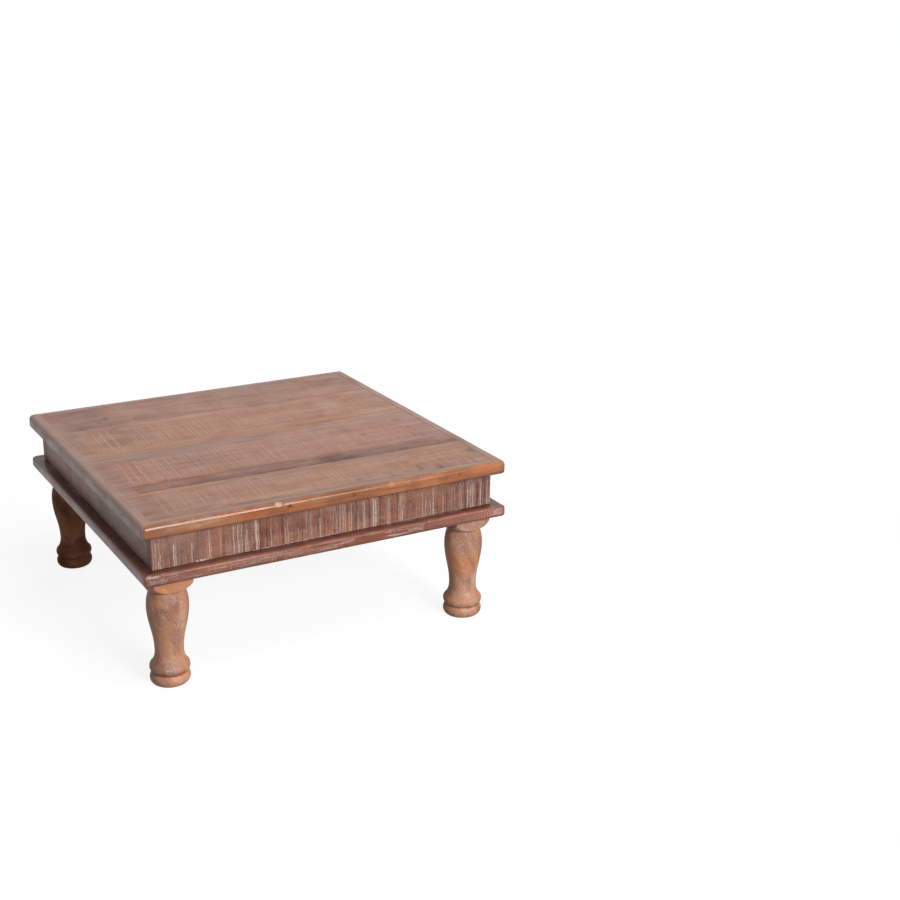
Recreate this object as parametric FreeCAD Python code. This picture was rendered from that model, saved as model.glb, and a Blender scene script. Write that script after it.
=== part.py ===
import FreeCAD, Part
import os

from FreeCAD import Rotation, Vector

# A low square wooden table on four turned legs, in millimetres.
# X runs to the right along the front, Y to the back, Z up. The origin is on the floor under the centre.

os.makedirs("parts", exist_ok=True)

X_AXIS = Vector(1, 0, 0)
Y_AXIS = Vector(0, 1, 0)
Z_AXIS = Vector(0, 0, 1)

# Plan of the table, over the border strips
table_w = 400.0
table_d = 400.0

# Top: planks inside a mitred border
top_t = 13.0
border_w = 11.8
border_nose_r = 5.0
border_foot_r = 4.2
border_corner_r = 3.4
plank_gap = 0.3
plank_arris = 0.6

# Seams between the planks, as shares of the field from its back edge, at each end of the planks
plank_names = ("top_plank_back", "top_plank_mid_back", "top_plank_mid_front", "top_plank_front")
seam_left_shares = (0.205, 0.489, 0.796)
seam_right_shares = (0.205, 0.489, 0.813)

# Apron: front and back boards cover the ends of the side boards
apron_h = 37.9
apron_t = 12.5

# Lower frame: four mitred boards that carry the legs and stand out as a ledge
frame_t = 12.5
frame_w = 68.0
frame_ledge = 12.0
frame_nose_r = 2.4
frame_foot_r = 4.6
frame_corner_r = 2.5

# Legs: how far the axis stands in from the frame's edge, then radii and heights from the floor up.
# Each leg is turned from a square blank, which keeps its sides at the head, under the frame.
leg_inset = 32.8
leg_blank_w = 41.6
foot_r = 20.3
groove_r = 17.2
ring_r = 20.3
waist_r = 14.4
bulge_r = 20.7
neck_r = 17.6
lip_r = 18.4
head_r = 28.8
tenon_r = 12.0
foot_h = 11.2
groove_h = 1.5
ring_h = 7.9
flare_h = 14.4
swell_h = 48.0
shoulder_h = 17.6
lip_h = 0.8
head_under_h = 10.6
head_over_h = 4.6
tenon_chamfer = 0.8
tenon_clear = 0.1

# Shares that shape the curves of a leg
foot_under_share = 0.857
foot_over_share = 0.897
ring_low_share = 0.916
ring_top_share = 0.956
flare_start_shares = (0.6, 0.21)
flare_end_share = 0.49
swell_share = 0.4
shoulder_start_share = 0.455
shoulder_end_shares = (0.32, 0.233)
head_mid_shares = (0.667, 0.377)

# Wedges driven into the tenons across the mitre of the frame
wedge_h = 11.5
wedge_top_t = 2.4
wedge_tip_t = 0.6

# Battens under the planks
batten_w = 42.0
batten_t = 15.0
batten_end_gap = 0.5
batten_place_share = 0.25

# Blocks inside the corners of the apron
block_w = 44.0
block_top_gap = 0.4
block_arris = 3.0

# Countersunk screws: head, core and point
screw_head_r = 3.6
screw_core_r = 1.9
screw_head_h = 2.4
screw_point_h = 4.0
screw_slot_w = 0.9
screw_slot_h = 1.0

# Nails and brads: small flat head punched below the surface, shank and point
punch_depth = 0.8
nail_head_r = 1.6
nail_shank_r = 1.0
nail_head_h = 0.9
nail_point_h = 2.5
nail_length = 34.0
brad_head_r = 1.3
brad_shank_r = 0.7
brad_head_h = 0.7
brad_point_h = 1.6
brad_length = 26.0
fastener_clear = 0.04

# How deep the screws bite into the second piece
screw_bite_plank = 8.0
screw_bite_apron = 8.5
screw_bite_block = 18.0

# Places of the fasteners, as shares of the piece that they pass through
batten_screw_shares = (0.25, 0.75)
border_brad_shares = (0.12, 0.37, 0.63, 0.88)
apron_nail_shares = (0.25, 0.75)
frame_nail_shares = (0.22, 0.5, 0.78)
block_screw_side_share = 0.72
block_screw_high_share = 0.66
block_screw_low_share = 0.34
frame_screw_near_share = 0.5
frame_screw_far_share = 0.9
half_share = 0.5

# How far a cutting body runs past what it cuts
overrun = 1.0

# Sizes and levels that follow from the ones above
field_w = table_w - 2 * border_w
field_d = table_d - 2 * border_w
frame_out_w = field_w + 2 * frame_ledge
frame_out_d = field_d + 2 * frame_ledge
inner_x = field_w / 2 - apron_t
inner_y = field_d / 2 - apron_t
leg_x = frame_out_w / 2 - leg_inset
leg_y = frame_out_d / 2 - leg_inset
leg_turned_h = foot_h + groove_h + ring_h + flare_h + swell_h + shoulder_h
leg_h = leg_turned_h + lip_h + head_under_h + head_over_h
frame_z = leg_h
apron_z = frame_z + frame_t
top_z = apron_z + apron_h
table_h = top_z + top_t
block_h = apron_h - block_top_gap

# Corners of the table: name, side along X, side along Y
corners = (
    ("front_left", -1, -1),
    ("front_right", 1, -1),
    ("back_left", -1, 1),
    ("back_right", 1, 1),
)

# Sides of the table, each a quarter turn about Z on from the one before
side_names = ("front", "right", "back", "left")
quarter_turn = 90
mitre_turn = 45


def slab(x0, y0, z0, x1, y1, z1):
    """Box between two corners."""
    return Part.makeBox(x1 - x0, y1 - y0, z1 - z0, Vector(x0, y0, z0))


def plan_prism(points, z0, height):
    """Upright prism over a closed outline of X, Y points."""
    corners_up = [Vector(x, y, z0) for x, y in points]
    wire = Part.makePolygon(corners_up + corners_up[:1])
    return Part.Face(wire).extrude(Z_AXIS * height)


def turned(points):
    """Solid of revolution about Z over a polygon of radius, height points."""
    outline = [Vector(r, 0, z) for r, z in points]
    wire = Part.makePolygon(outline + outline[:1])
    return Part.Face(wire).revolve(Vector(), Z_AXIS, 360)


def aimed(shape, x, y, z, direction):
    """Turn a shape built along +Z so that it points along a direction, and set it at a place."""
    moved = shape.copy()
    moved.Placement = FreeCAD.Placement(Vector(x, y, z), Rotation(Z_AXIS, direction))
    return moved


def edges_at(shape, chosen):
    """Edges whose centre passes a test."""
    return [edge for edge in shape.Edges if chosen(edge.CenterOfMass, edge)]


def runs_along_x(side):
    """True for the front and the back of the table, false for its left and right."""
    return side_names[side] in ("front", "back")


def ring_board(out_w, out_d, board_w, thick, z0, corner_r, nose_r, lower_r, side):
    """One mitred board of a rectangular ring, with rounded nose and eased corners."""
    ring = slab(-out_w / 2, -out_d / 2, z0, out_w / 2, out_d / 2, z0 + thick)
    upright = edges_at(ring, lambda c, e: e.BoundBox.ZLength > thick / 2)
    column = ring.makeFillet(corner_r, upright)
    upper = edges_at(ring, lambda c, e: e.BoundBox.ZMin > z0 + thick / 2)
    ring = ring.makeFillet(nose_r, upper)
    lower = edges_at(ring, lambda c, e: e.BoundBox.ZMax < z0 + thick / 4)
    ring = ring.makeFillet(lower_r, lower).common(column)
    long_w, deep = (out_w, out_d) if runs_along_x(side) else (out_d, out_w)
    wedge = plan_prism(
        (
            (-long_w / 2, -deep / 2),
            (long_w / 2, -deep / 2),
            (long_w / 2 - board_w, -deep / 2 + board_w),
            (-long_w / 2 + board_w, -deep / 2 + board_w),
        ),
        z0,
        thick,
    )
    wedge.rotate(Vector(), Z_AXIS, side * quarter_turn)
    return ring.common(wedge)


def screw(length, clear):
    """Countersunk screw from the middle of its head along +Z; a clearance makes its hole."""
    body = turned(
        (
            (0, 0),
            (screw_head_r + clear, 0),
            (screw_core_r + clear, screw_head_h),
            (screw_core_r + clear, length - screw_point_h),
            (0, length + clear),
        )
    )
    if clear:
        return body
    reach = screw_head_r + overrun
    slot = slab(-reach, -screw_slot_w / 2, -overrun, reach, screw_slot_w / 2, screw_slot_h)
    return body.cut(slot)


def pin(head_r, head_h, shank_r, point_h, length, clear):
    """Nail or brad punched in along +Z from the surface at zero; a clearance makes its hole."""
    start = -overrun if clear else punch_depth
    seat = punch_depth + head_h
    tip = punch_depth + length
    return turned(
        (
            (0, start),
            (head_r + clear, start),
            (head_r + clear, seat),
            (shank_r + clear, seat),
            (shank_r + clear, tip - point_h),
            (0, tip + clear),
        )
    )


def nail(clear):
    """Nail for the aprons and the lower frame, or its hole."""
    return pin(nail_head_r, nail_head_h, nail_shank_r, nail_point_h, nail_length, clear)


def brad(clear):
    """Brad for the border strips, or its hole."""
    return pin(brad_head_r, brad_head_h, brad_shank_r, brad_point_h, brad_length, clear)


def share_of(low, high, share):
    """Place between two others."""
    return low + (high - low) * share


def seam_lines():
    """Y of every plank edge at the left and at the right, from the back of the field to its front."""
    left = [field_d / 2 - share * field_d for share in (0.0,) + seam_left_shares + (1.0,)]
    right = [field_d / 2 - share * field_d for share in (0.0,) + seam_right_shares + (1.0,)]
    return left, right


def plank_edges(index, x):
    """Y of the front and the back edge of a plank at a place along it."""
    left, right = seam_lines()
    along = (x + field_w / 2) / field_w
    back = share_of(left[index], right[index], along)
    front = share_of(left[index + 1], right[index + 1], along)
    return front, back


def plank_middle(index, x):
    """Y of the middle of a plank at a place along it."""
    front, back = plank_edges(index, x)
    return share_of(front, back, half_share)


def make_plank(index):
    """One plank of the top: a slightly tapered board with eased upper edges along its seams."""
    left, right = seam_lines()
    last = len(plank_names) - 1
    back_gap = plank_gap / 2 if index > 0 else 0
    front_gap = plank_gap / 2 if index < last else 0
    board = plan_prism(
        (
            (-field_w / 2, left[index + 1] + front_gap),
            (field_w / 2, right[index + 1] + front_gap),
            (field_w / 2, right[index] - back_gap),
            (-field_w / 2, left[index] - back_gap),
        ),
        top_z,
        top_t,
    )
    seams = edges_at(board, lambda c, e: c.z > top_z + top_t / 2 and abs(c.x) < field_w / 4)
    return board.makeChamfer(plank_arris, seams)


def make_batten(side):
    """Batten across the underside of the planks, between the front and back apron boards."""
    middle = side * batten_place_share * field_w
    reach = inner_y - batten_end_gap
    return slab(middle - batten_w / 2, -reach, top_z - batten_t, middle + batten_w / 2, reach, top_z)


def make_apron_long(side):
    """Front or back apron board, over the full width."""
    outer = side * field_d / 2
    inner = side * inner_y
    return slab(-field_w / 2, min(outer, inner), apron_z, field_w / 2, max(outer, inner), top_z)


def make_apron_short(side):
    """Left or right apron board, between the front and back boards."""
    outer = side * field_w / 2
    inner = side * inner_x
    return slab(min(outer, inner), -inner_y, apron_z, max(outer, inner), inner_y, top_z)


def make_block(sx, sy):
    """Square block in a corner of the apron, with its inner edge eased."""
    far_x, far_y = sx * inner_x, sy * inner_y
    near_x, near_y = sx * (inner_x - block_w), sy * (inner_y - block_w)
    low_x, high_x = sorted((far_x, near_x))
    low_y, high_y = sorted((far_y, near_y))
    block = slab(low_x, low_y, apron_z, high_x, high_y, apron_z + block_h)
    inner_edge = edges_at(
        block,
        lambda c, e: abs(c.x - near_x) < block_arris
        and abs(c.y - near_y) < block_arris
        and e.BoundBox.ZLength > block_h / 2,
    )
    return block.makeChamfer(block_arris, inner_edge)


def leg_outline():
    """Closed half section of a leg: lines, arcs and curves from the floor up to the tenon."""
    z_foot = foot_h
    z_groove = z_foot + groove_h
    z_ring = z_groove + ring_h
    z_waist = z_ring + flare_h
    z_bulge = z_waist + swell_h
    z_neck = z_bulge + shoulder_h
    z_lip = z_neck + lip_h
    z_head = z_lip + head_under_h
    z_tenon = leg_h + frame_t
    foot_under_r = foot_r * foot_under_share
    foot_over_r = foot_r * foot_over_share
    ring_low_r = ring_r * ring_low_share
    ring_top_r = ring_r * ring_top_share

    def at(r, z):
        return Vector(r, 0, z)

    def line(a, b):
        return Part.makeLine(at(*a), at(*b))

    def arc(a, b, c):
        return Part.Arc(at(*a), at(*b), at(*c)).toShape()

    def curve(*poles):
        bezier = Part.BezierCurve()
        bezier.setPoles([at(r, z) for r, z in poles])
        return bezier.toShape()

    ring_mid_z = share_of(z_groove, z_ring, half_share)
    flare_in = (
        ring_top_r - flare_start_shares[0] * (ring_top_r - waist_r),
        z_ring + flare_start_shares[1] * flare_h,
    )
    flare_out = (waist_r, z_waist - flare_end_share * flare_h)
    swell_in = (waist_r, z_waist + swell_share * swell_h)
    swell_out = (bulge_r, z_bulge - swell_share * swell_h)
    shoulder_in = (bulge_r, z_bulge + shoulder_start_share * shoulder_h)
    shoulder_out = (
        neck_r + shoulder_end_shares[0] * (bulge_r - neck_r),
        z_neck - shoulder_end_shares[1] * shoulder_h,
    )
    head_mid = (
        lip_r + head_mid_shares[0] * (head_r - lip_r),
        z_lip + head_mid_shares[1] * head_under_h,
    )
    return [
        line((0, 0), (foot_under_r, 0)),
        arc((foot_under_r, 0), (foot_r, z_foot * half_share), (foot_over_r, z_foot)),
        line((foot_over_r, z_foot), (groove_r, z_foot + groove_h * half_share)),
        line((groove_r, z_foot + groove_h * half_share), (ring_low_r, z_groove)),
        arc((ring_low_r, z_groove), (ring_r, ring_mid_z), (ring_top_r, z_ring)),
        curve((ring_top_r, z_ring), flare_in, flare_out, (waist_r, z_waist)),
        curve((waist_r, z_waist), swell_in, swell_out, (bulge_r, z_bulge)),
        curve((bulge_r, z_bulge), shoulder_in, shoulder_out, (neck_r, z_neck)),
        line((neck_r, z_neck), (lip_r, z_lip)),
        arc((lip_r, z_lip), head_mid, (head_r, z_head)),
        line((head_r, z_head), (head_r, leg_h)),
        line((head_r, leg_h), (tenon_r, leg_h)),
        line((tenon_r, leg_h), (tenon_r, z_tenon - tenon_chamfer)),
        line((tenon_r, z_tenon - tenon_chamfer), (tenon_r - tenon_chamfer, z_tenon)),
        line((tenon_r - tenon_chamfer, z_tenon), (0, z_tenon)),
        line((0, z_tenon), (0, 0)),
    ]


def leg_whole():
    """Leg on the Z axis before its tenon is split for the wedge. It is turned inside a square blank, whose
    four sides stay flat at the head, and whose X runs along the diagonal of the blank."""
    body = Part.Face(Part.Wire(leg_outline())).revolve(Vector(), Z_AXIS, 360)
    half = leg_blank_w / 2
    blank = slab(-half, -half, 0, half, half, leg_h + frame_t)
    blank.rotate(Vector(), Z_AXIS, mitre_turn)
    return body.common(blank)


def wedge_prism():
    """Tapered prism that splits a tenon on the Z axis, wider than the tenon."""
    top = leg_h + frame_t
    reach = tenon_r + overrun
    section = [
        Vector(-reach, -wedge_top_t / 2, top),
        Vector(-reach, wedge_top_t / 2, top),
        Vector(-reach, wedge_tip_t / 2, top - wedge_h),
        Vector(-reach, -wedge_tip_t / 2, top - wedge_h),
    ]
    wire = Part.makePolygon(section + section[:1])
    return Part.Face(wire).extrude(X_AXIS * 2 * reach)


def set_at_corner(shape, sx, sy):
    """Turn a shape on the Z axis so that its X lies along the mitre, and move it to a leg's place."""
    moved = shape.copy()
    moved.rotate(Vector(), Z_AXIS, sx * sy * mitre_turn)
    moved.translate(Vector(sx * leg_x, sy * leg_y, 0))
    return moved


def make_legs():
    """The four legs and the wedges in their tenons."""
    whole = leg_whole()
    prism = wedge_prism()
    wedge = whole.common(prism)
    split_leg = whole.cut(prism)
    legs = {}
    wedges = []
    for name, sx, sy in corners:
        legs["leg_" + name] = set_at_corner(split_leg, sx, sy)
        wedges.append(set_at_corner(wedge, sx, sy))
    return legs, wedges


def batten_screw_places():
    """Screws up through the battens, two in each plank."""
    places = []
    for side in (-1, 1):
        x = side * batten_place_share * field_w
        for index in range(len(plank_names)):
            front, back = plank_edges(index, x)
            low = max(front, -inner_y)
            high = min(back, inner_y)
            for share in batten_screw_shares:
                places.append((x, share_of(low, high, share), top_z - batten_t, Z_AXIS))
    return places


def block_screw_places():
    """Two level screws through each corner block, one into each apron board."""
    places = []
    for _, sx, sy in corners:
        near_x, near_y = sx * (inner_x - block_w), sy * (inner_y - block_w)
        cross_x = sx * (inner_x - block_screw_side_share * block_w)
        cross_y = sy * (inner_y - block_screw_side_share * block_w)
        places.append((near_x, cross_y, apron_z + block_screw_high_share * block_h, X_AXIS * sx))
        places.append((cross_x, near_y, apron_z + block_screw_low_share * block_h, Y_AXIS * sy))
    return places


def top_screw_places():
    """One screw up through the middle of each corner block into the planks."""
    reach = half_share * block_w
    return [(sx * (inner_x - reach), sy * (inner_y - reach), apron_z, Z_AXIS) for _, sx, sy in corners]


def frame_screw_places():
    """Two screws up through the lower frame into each corner block, clear of the leg's head."""
    near = frame_screw_near_share * block_w
    far = frame_screw_far_share * block_w
    places = []
    for _, sx, sy in corners:
        places.append((sx * (inner_x - near), sy * (inner_y - far), frame_z, Z_AXIS))
        places.append((sx * (inner_x - far), sy * (inner_y - near), frame_z, Z_AXIS))
    return places


def frame_nail_places():
    """Nails up through the lower frame into the lower edges of the apron boards."""
    places = []
    for share in frame_nail_shares:
        x = share_of(-field_w / 2, field_w / 2, share)
        y = share_of(-inner_y, inner_y, share)
        for side in (-1, 1):
            places.append((x, side * (field_d / 2 - apron_t / 2), frame_z, Z_AXIS))
            places.append((side * (field_w / 2 - apron_t / 2), y, frame_z, Z_AXIS))
    return places


def apron_nail_places():
    """Nails through the front and back boards into the ends of the side boards."""
    places = []
    for _, sx, sy in corners:
        for share in apron_nail_shares:
            x = sx * (field_w / 2 - apron_t / 2)
            places.append((x, sy * field_d / 2, apron_z + share * apron_h, Y_AXIS * -sy))
    return places


def border_brad_places():
    """Brads through the border strips: along the front and back, and one into each plank's ends."""
    places = []
    level = top_z + top_t / 2
    for side in (-1, 1):
        for share in border_brad_shares:
            x = share_of(-field_w / 2, field_w / 2, share)
            places.append((x, side * table_d / 2, level, Y_AXIS * -side))
        for index in range(len(plank_names)):
            y = plank_middle(index, side * field_w / 2)
            places.append((side * table_w / 2, y, level, X_AXIS * -side))
    return places


def set_all(shape, places):
    """Copies of one fastener at its places."""
    return [aimed(shape, x, y, z, direction) for x, y, z, direction in places]


def bored(piece, tools):
    """Cut from a piece every tool that reaches it."""
    near = [tool for tool in tools if tool.BoundBox.intersect(piece.BoundBox)]
    return piece.cut(near) if near else piece


# Wooden pieces before they are bored
wood = {}
for index, name in enumerate(plank_names):
    wood[name] = make_plank(index)
for side, name in enumerate(side_names):
    wood["top_border_" + name] = ring_board(
        table_w, table_d, border_w, top_t, top_z, border_corner_r, border_nose_r, border_foot_r, side
    )
    wood["lower_frame_" + name] = ring_board(
        frame_out_w, frame_out_d, frame_w, frame_t, frame_z, frame_corner_r, frame_nose_r, frame_foot_r, side
    )
wood["batten_left"] = make_batten(-1)
wood["batten_right"] = make_batten(1)
wood["apron_front"] = make_apron_long(-1)
wood["apron_back"] = make_apron_long(1)
wood["apron_left"] = make_apron_short(-1)
wood["apron_right"] = make_apron_short(1)
for name, sx, sy in corners:
    wood["corner_block_" + name] = make_block(sx, sy)

# Fasteners: name, maker that takes a clearance, places
batten_screw_length = batten_t + screw_bite_plank
block_screw_length = block_w + screw_bite_apron
top_screw_length = apron_h + screw_bite_plank
frame_screw_length = frame_t + screw_bite_block
fasteners = (
    ("batten_screws", lambda clear: screw(batten_screw_length, clear), batten_screw_places()),
    ("block_screws", lambda clear: screw(block_screw_length, clear), block_screw_places()),
    ("top_screws", lambda clear: screw(top_screw_length, clear), top_screw_places()),
    ("frame_screws", lambda clear: screw(frame_screw_length, clear), frame_screw_places()),
    ("frame_nails", nail, frame_nail_places()),
    ("apron_nails", nail, apron_nail_places()),
    ("border_brads", brad, border_brad_places()),
)

nodes = {}
holes = []
for name, maker, places in fasteners:
    nodes[name] = Part.makeCompound(set_all(maker(0), places))
    holes += set_all(maker(fastener_clear), places)

# Round holes for the tenons in the lower frame
for _, sx, sy in corners:
    holes.append(Part.makeCylinder(tenon_r + tenon_clear, frame_t, Vector(sx * leg_x, sy * leg_y, frame_z)))

for name, piece in wood.items():
    nodes[name] = bored(piece, holes)

legs, wedges = make_legs()
nodes.update(legs)
nodes["tenon_wedges"] = Part.makeCompound(wedges)

for name, shape in nodes.items():
    shape.exportStep("parts/" + name + ".step")
    print(name, len(shape.Solids), round(shape.Volume, 1), shape.isValid())
print("nodes", len(nodes), "height", round(table_h, 3))
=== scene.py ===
import math

import bpy
import numpy as np
from mathutils import Matrix, Vector


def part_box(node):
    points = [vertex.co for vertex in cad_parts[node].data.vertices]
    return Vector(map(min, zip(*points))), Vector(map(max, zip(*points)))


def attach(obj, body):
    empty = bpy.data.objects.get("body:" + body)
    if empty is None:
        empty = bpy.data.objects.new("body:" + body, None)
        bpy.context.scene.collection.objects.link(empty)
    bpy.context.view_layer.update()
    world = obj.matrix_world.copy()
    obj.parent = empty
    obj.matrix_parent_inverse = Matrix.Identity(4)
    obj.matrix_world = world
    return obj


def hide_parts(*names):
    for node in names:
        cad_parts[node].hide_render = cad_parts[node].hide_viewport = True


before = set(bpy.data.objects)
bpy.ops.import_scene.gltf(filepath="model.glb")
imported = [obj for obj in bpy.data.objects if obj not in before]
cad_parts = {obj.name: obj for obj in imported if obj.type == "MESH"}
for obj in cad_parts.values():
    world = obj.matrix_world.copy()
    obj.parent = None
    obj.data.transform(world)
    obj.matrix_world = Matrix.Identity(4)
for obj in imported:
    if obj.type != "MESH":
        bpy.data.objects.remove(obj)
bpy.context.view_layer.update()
# One millimetre in metres: shapes are worked out in millimetres, and scaled when a mesh is made from them
MM = 0.001

# The planks of the top: four old boards of unequal width that run from left to right, sawn across with a
# coarse saw, stained and waxed. Pale dust has stayed in the saw marks, and each board has its own colour.
# Their ends and outer edges are nailed to the border, and battens hold them from below.
PLANK_STEP = 1.1
PLANK_STEP_ACROSS = 1.9
PLANK_EDGE_STEPS = 12
PLANK_ARRIS = 0.5
PLANK_END_ARRIS = 0.3
PLANK_WEAR = 0.16
PLANK_JOINT = 0.75
PLANK_END_STAIN = 0.12
PLANK_END_DUST = 0.4
PLANK_COARSE = {"pitch": 2.7, "width": 0.66, "bend_by": 4, "breaks": 22, "seed": 1, "whole": (0.22, 0.42)}
PLANK_FINE = {"pitch": 1.9, "width": 0.55, "bend_by": 4, "breaks": 50, "seed": 2}
PLANK_FINE_SHARE = 0.7
PLANK_LEAN = {"up": 1, "slant": -0.06}
PLANK_SHADES = (0.78, 1.0, 1.2)
SAWDUST = (0.66, 0.475, 0.37)
SAWN_TINT = (0.98, 0.86, 0.78)
SHARP_ANGLE = math.radians(50)
LATTICE_TURNS = (127.1, 311.7, 74.7)
LATTICE_STRETCH = 43758.5453
OCTAVE_SEED = 17
SPREAD_EVEN = 0.35
RANGE_SOCKETS = ("Value", "From Min", "From Max", "To Min", "To Max")
LINE_LOOSENESS = 0.65
LINE_FAINTEST = 0.12
LINE_SHIFTS = (0.31, 0.47, 0.59)
MARK_DEPTH = 0.2
# Noise in the wood, by name: cells per metre along the grain and across it, detail and distortion
WOOD_GRAINS = {
    "broad": (5, 55, 3, 0.6),
    "streak": (9, 230, 3, 0.3),
    "fibre": (25, 1100, 4, 0.2),
    "mottle": (38, 38, 4, 0.3),
    "pores": (90, 1500, 2, 0),
    "grit": (1700, 1700, 2, 0),
    "clumps": (520, 520, 3, 0),
}
WARM_TINT = (1.16, 0.9, 0.62)
COOL_TINT = (0.84, 0.83, 0.95)
STREAK_TINT = (0.8, 0.74, 0.72)
FIBRE_TINT = (0.78, 0.73, 0.71)
PORE_TINT = (0.45, 0.4, 0.4)
STAIN_AND_SHADE_TINT = (0.3, 0.22, 0.21)


def lattice(ix, iy, seed):
    """Pseudo-random value from 0 to 1 at whole-number points: the fractional part of a large sine."""
    turns = ix * LATTICE_TURNS[0] + iy * LATTICE_TURNS[1] + seed * LATTICE_TURNS[2]
    value = np.sin(turns) * LATTICE_STRETCH
    return value - np.floor(value)


def noise(x, y, seed):
    """Smooth random field from 0 to 1: lattice values at the four nearest points, blended with the cubic
    3t^2 - 2t^3 in each direction."""
    ix, iy = np.floor(x), np.floor(y)
    tx, ty = x - ix, y - iy
    sx, sy = tx * tx * (3 - 2 * tx), ty * ty * (3 - 2 * ty)
    low = lattice(ix, iy, seed) * (1 - sx) + lattice(ix + 1, iy, seed) * sx
    high = lattice(ix, iy + 1, seed) * (1 - sx) + lattice(ix + 1, iy + 1, seed) * sx
    return low * (1 - sy) + high * sy


def layered(x, y, seed, octaves=4):
    """Sum of noise fields, each twice as fine and half as strong as the one before, scaled to 0 to 1."""
    total = sum(noise(x * 2**k, y * 2**k, seed + OCTAVE_SEED * k) / 2**k for k in range(octaves))
    return total / sum(1 / 2**k for k in range(octaves))


def rise(value, low, high):
    """Smooth step from 0 at low to 1 at high."""
    t = np.clip((value - low) / (high - low), 0, 1)
    return t * t * (3 - 2 * t)


def blots(x, y, seed, low, high, octaves=4):
    """Soft-edged blots: 1 where layered noise is above high, and 0 where it is below low."""
    return rise(layered(x, y, seed, octaves), low, high)


def window(value, low, high, soft):
    """1 between two limits and 0 outside, with a smooth step as wide as twice soft at each limit."""
    return rise(value, low - soft, low + soft) * (1 - rise(value, high - soft, high + soft))


def bell(distance, width):
    """Bell curve exp(-(distance / width)^2)."""
    return np.exp(-((distance / width) ** 2))


def patches(x, y, rows, seed):
    """Soft rectangles with uneven edges, softer along x, as the grain runs. A row gives two limits along x,
    two along y and the softness, then how much stain, warmth and dust the patch adds, where the last ones may
    be left out. Returns the three sums."""
    total = np.zeros((3,) + x.shape)
    for number, (x0, x1, y0, y1, soft, *amounts) in enumerate(rows):
        long = soft * min(max(soft - 1, 1), 3)
        uneven = layered(x / (2.5 * long), y / (1.3 * soft), seed + number, 3) - 0.5
        inside = window(x + 3.2 * long * uneven, x0, x1, long)
        inside = inside * window(y + 3 * soft * uneven, y0, y1, soft)
        for field, amount in zip(total, amounts):
            field += amount * inside
    return total


def skin(name, rings, paint, node, material):
    """Closed surface through a row of closed rings of points, with a fan of triangles over each end, in place
    of a CAD node. Faces are turned round when the signed volume, the sum of a . (b x c) over the triangles,
    is negative. The paint (pale dust and painted sheen, dark stain and painted shade, warmth, tool marks)
    goes into a colour attribute."""
    count, around = rings.shape[:2]
    points = np.vstack([rings.reshape(-1, 3), rings[0].mean(0), rings[-1].mean(0)])
    colours = np.vstack([paint.reshape(-1, 4), paint[0].mean(0), paint[-1].mean(0)])
    i, j = np.meshgrid(np.arange(count - 1), np.arange(around), indexing="ij")
    k = (j + 1) % around
    corners = [i * around + j, (i + 1) * around + j, (i + 1) * around + k, i * around + k]
    quads = np.stack(corners, -1).reshape(-1, 4)
    j, k = j[0], k[0]
    end = (count - 1) * around
    first_fan = np.stack([np.full(around, count * around), j, k], 1)
    last_fan = np.stack([np.full(around, count * around + 1), end + k, end + j], 1)
    fans = np.vstack([first_fan, last_fan])
    triangles = np.vstack([quads[:, :3], quads[:, (0, 2, 3)], fans])
    a, b, c = (points[triangles[:, n]] for n in range(3))
    if np.einsum("ij,ij->", a, np.cross(b, c)) < 0:
        quads, fans = quads[:, ::-1], fans[:, ::-1]
    mesh = bpy.data.meshes.new(name)
    mesh.from_pydata((points * MM).tolist(), [], quads.tolist() + fans.tolist())
    mesh.shade_smooth()
    mesh.set_sharp_from_angle(angle=SHARP_ANGLE)
    layer = mesh.color_attributes.new("paint", "FLOAT_COLOR", "POINT")
    layer.data.foreach_set("color", np.clip(colours, 0, 1).ravel())
    mesh.materials.append(material)
    piece = bpy.data.objects.new(name, mesh)
    bpy.context.scene.collection.objects.link(piece)
    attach(piece, "root")
    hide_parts(node)


def easing(distance, radius):
    """Drop of a rounded edge: a quarter circle of a radius, none further in than the radius."""
    near = np.clip(radius - distance, 0, radius)
    return radius - np.sqrt(np.maximum(radius**2 - near**2, 0))


def spread(count):
    """Places from 0 to 1, evenly spaced in the middle and much closer together towards both ends."""
    t = np.linspace(0, 1, count)
    return SPREAD_EVEN * t + (1 - SPREAD_EVEN) * (1 - np.cos(np.pi * t)) / 2


def board_loop(top_count, side_count=5, bottom_count=14):
    """Closed loop of (share across, share up) round a board's section: over the top, down the far side, back
    under the bottom and up the near side."""
    down = np.linspace(1, 0, side_count + 1)[1:]
    back = np.linspace(1, 0, bottom_count)[1:]
    up = np.linspace(0, 1, side_count + 1)[1:-1]
    across = np.concatenate([spread(top_count), np.ones(side_count), back, np.zeros(side_count - 1)])
    height = np.concatenate([np.ones(top_count), down, np.zeros(bottom_count - 1), up])
    return across, height


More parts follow.
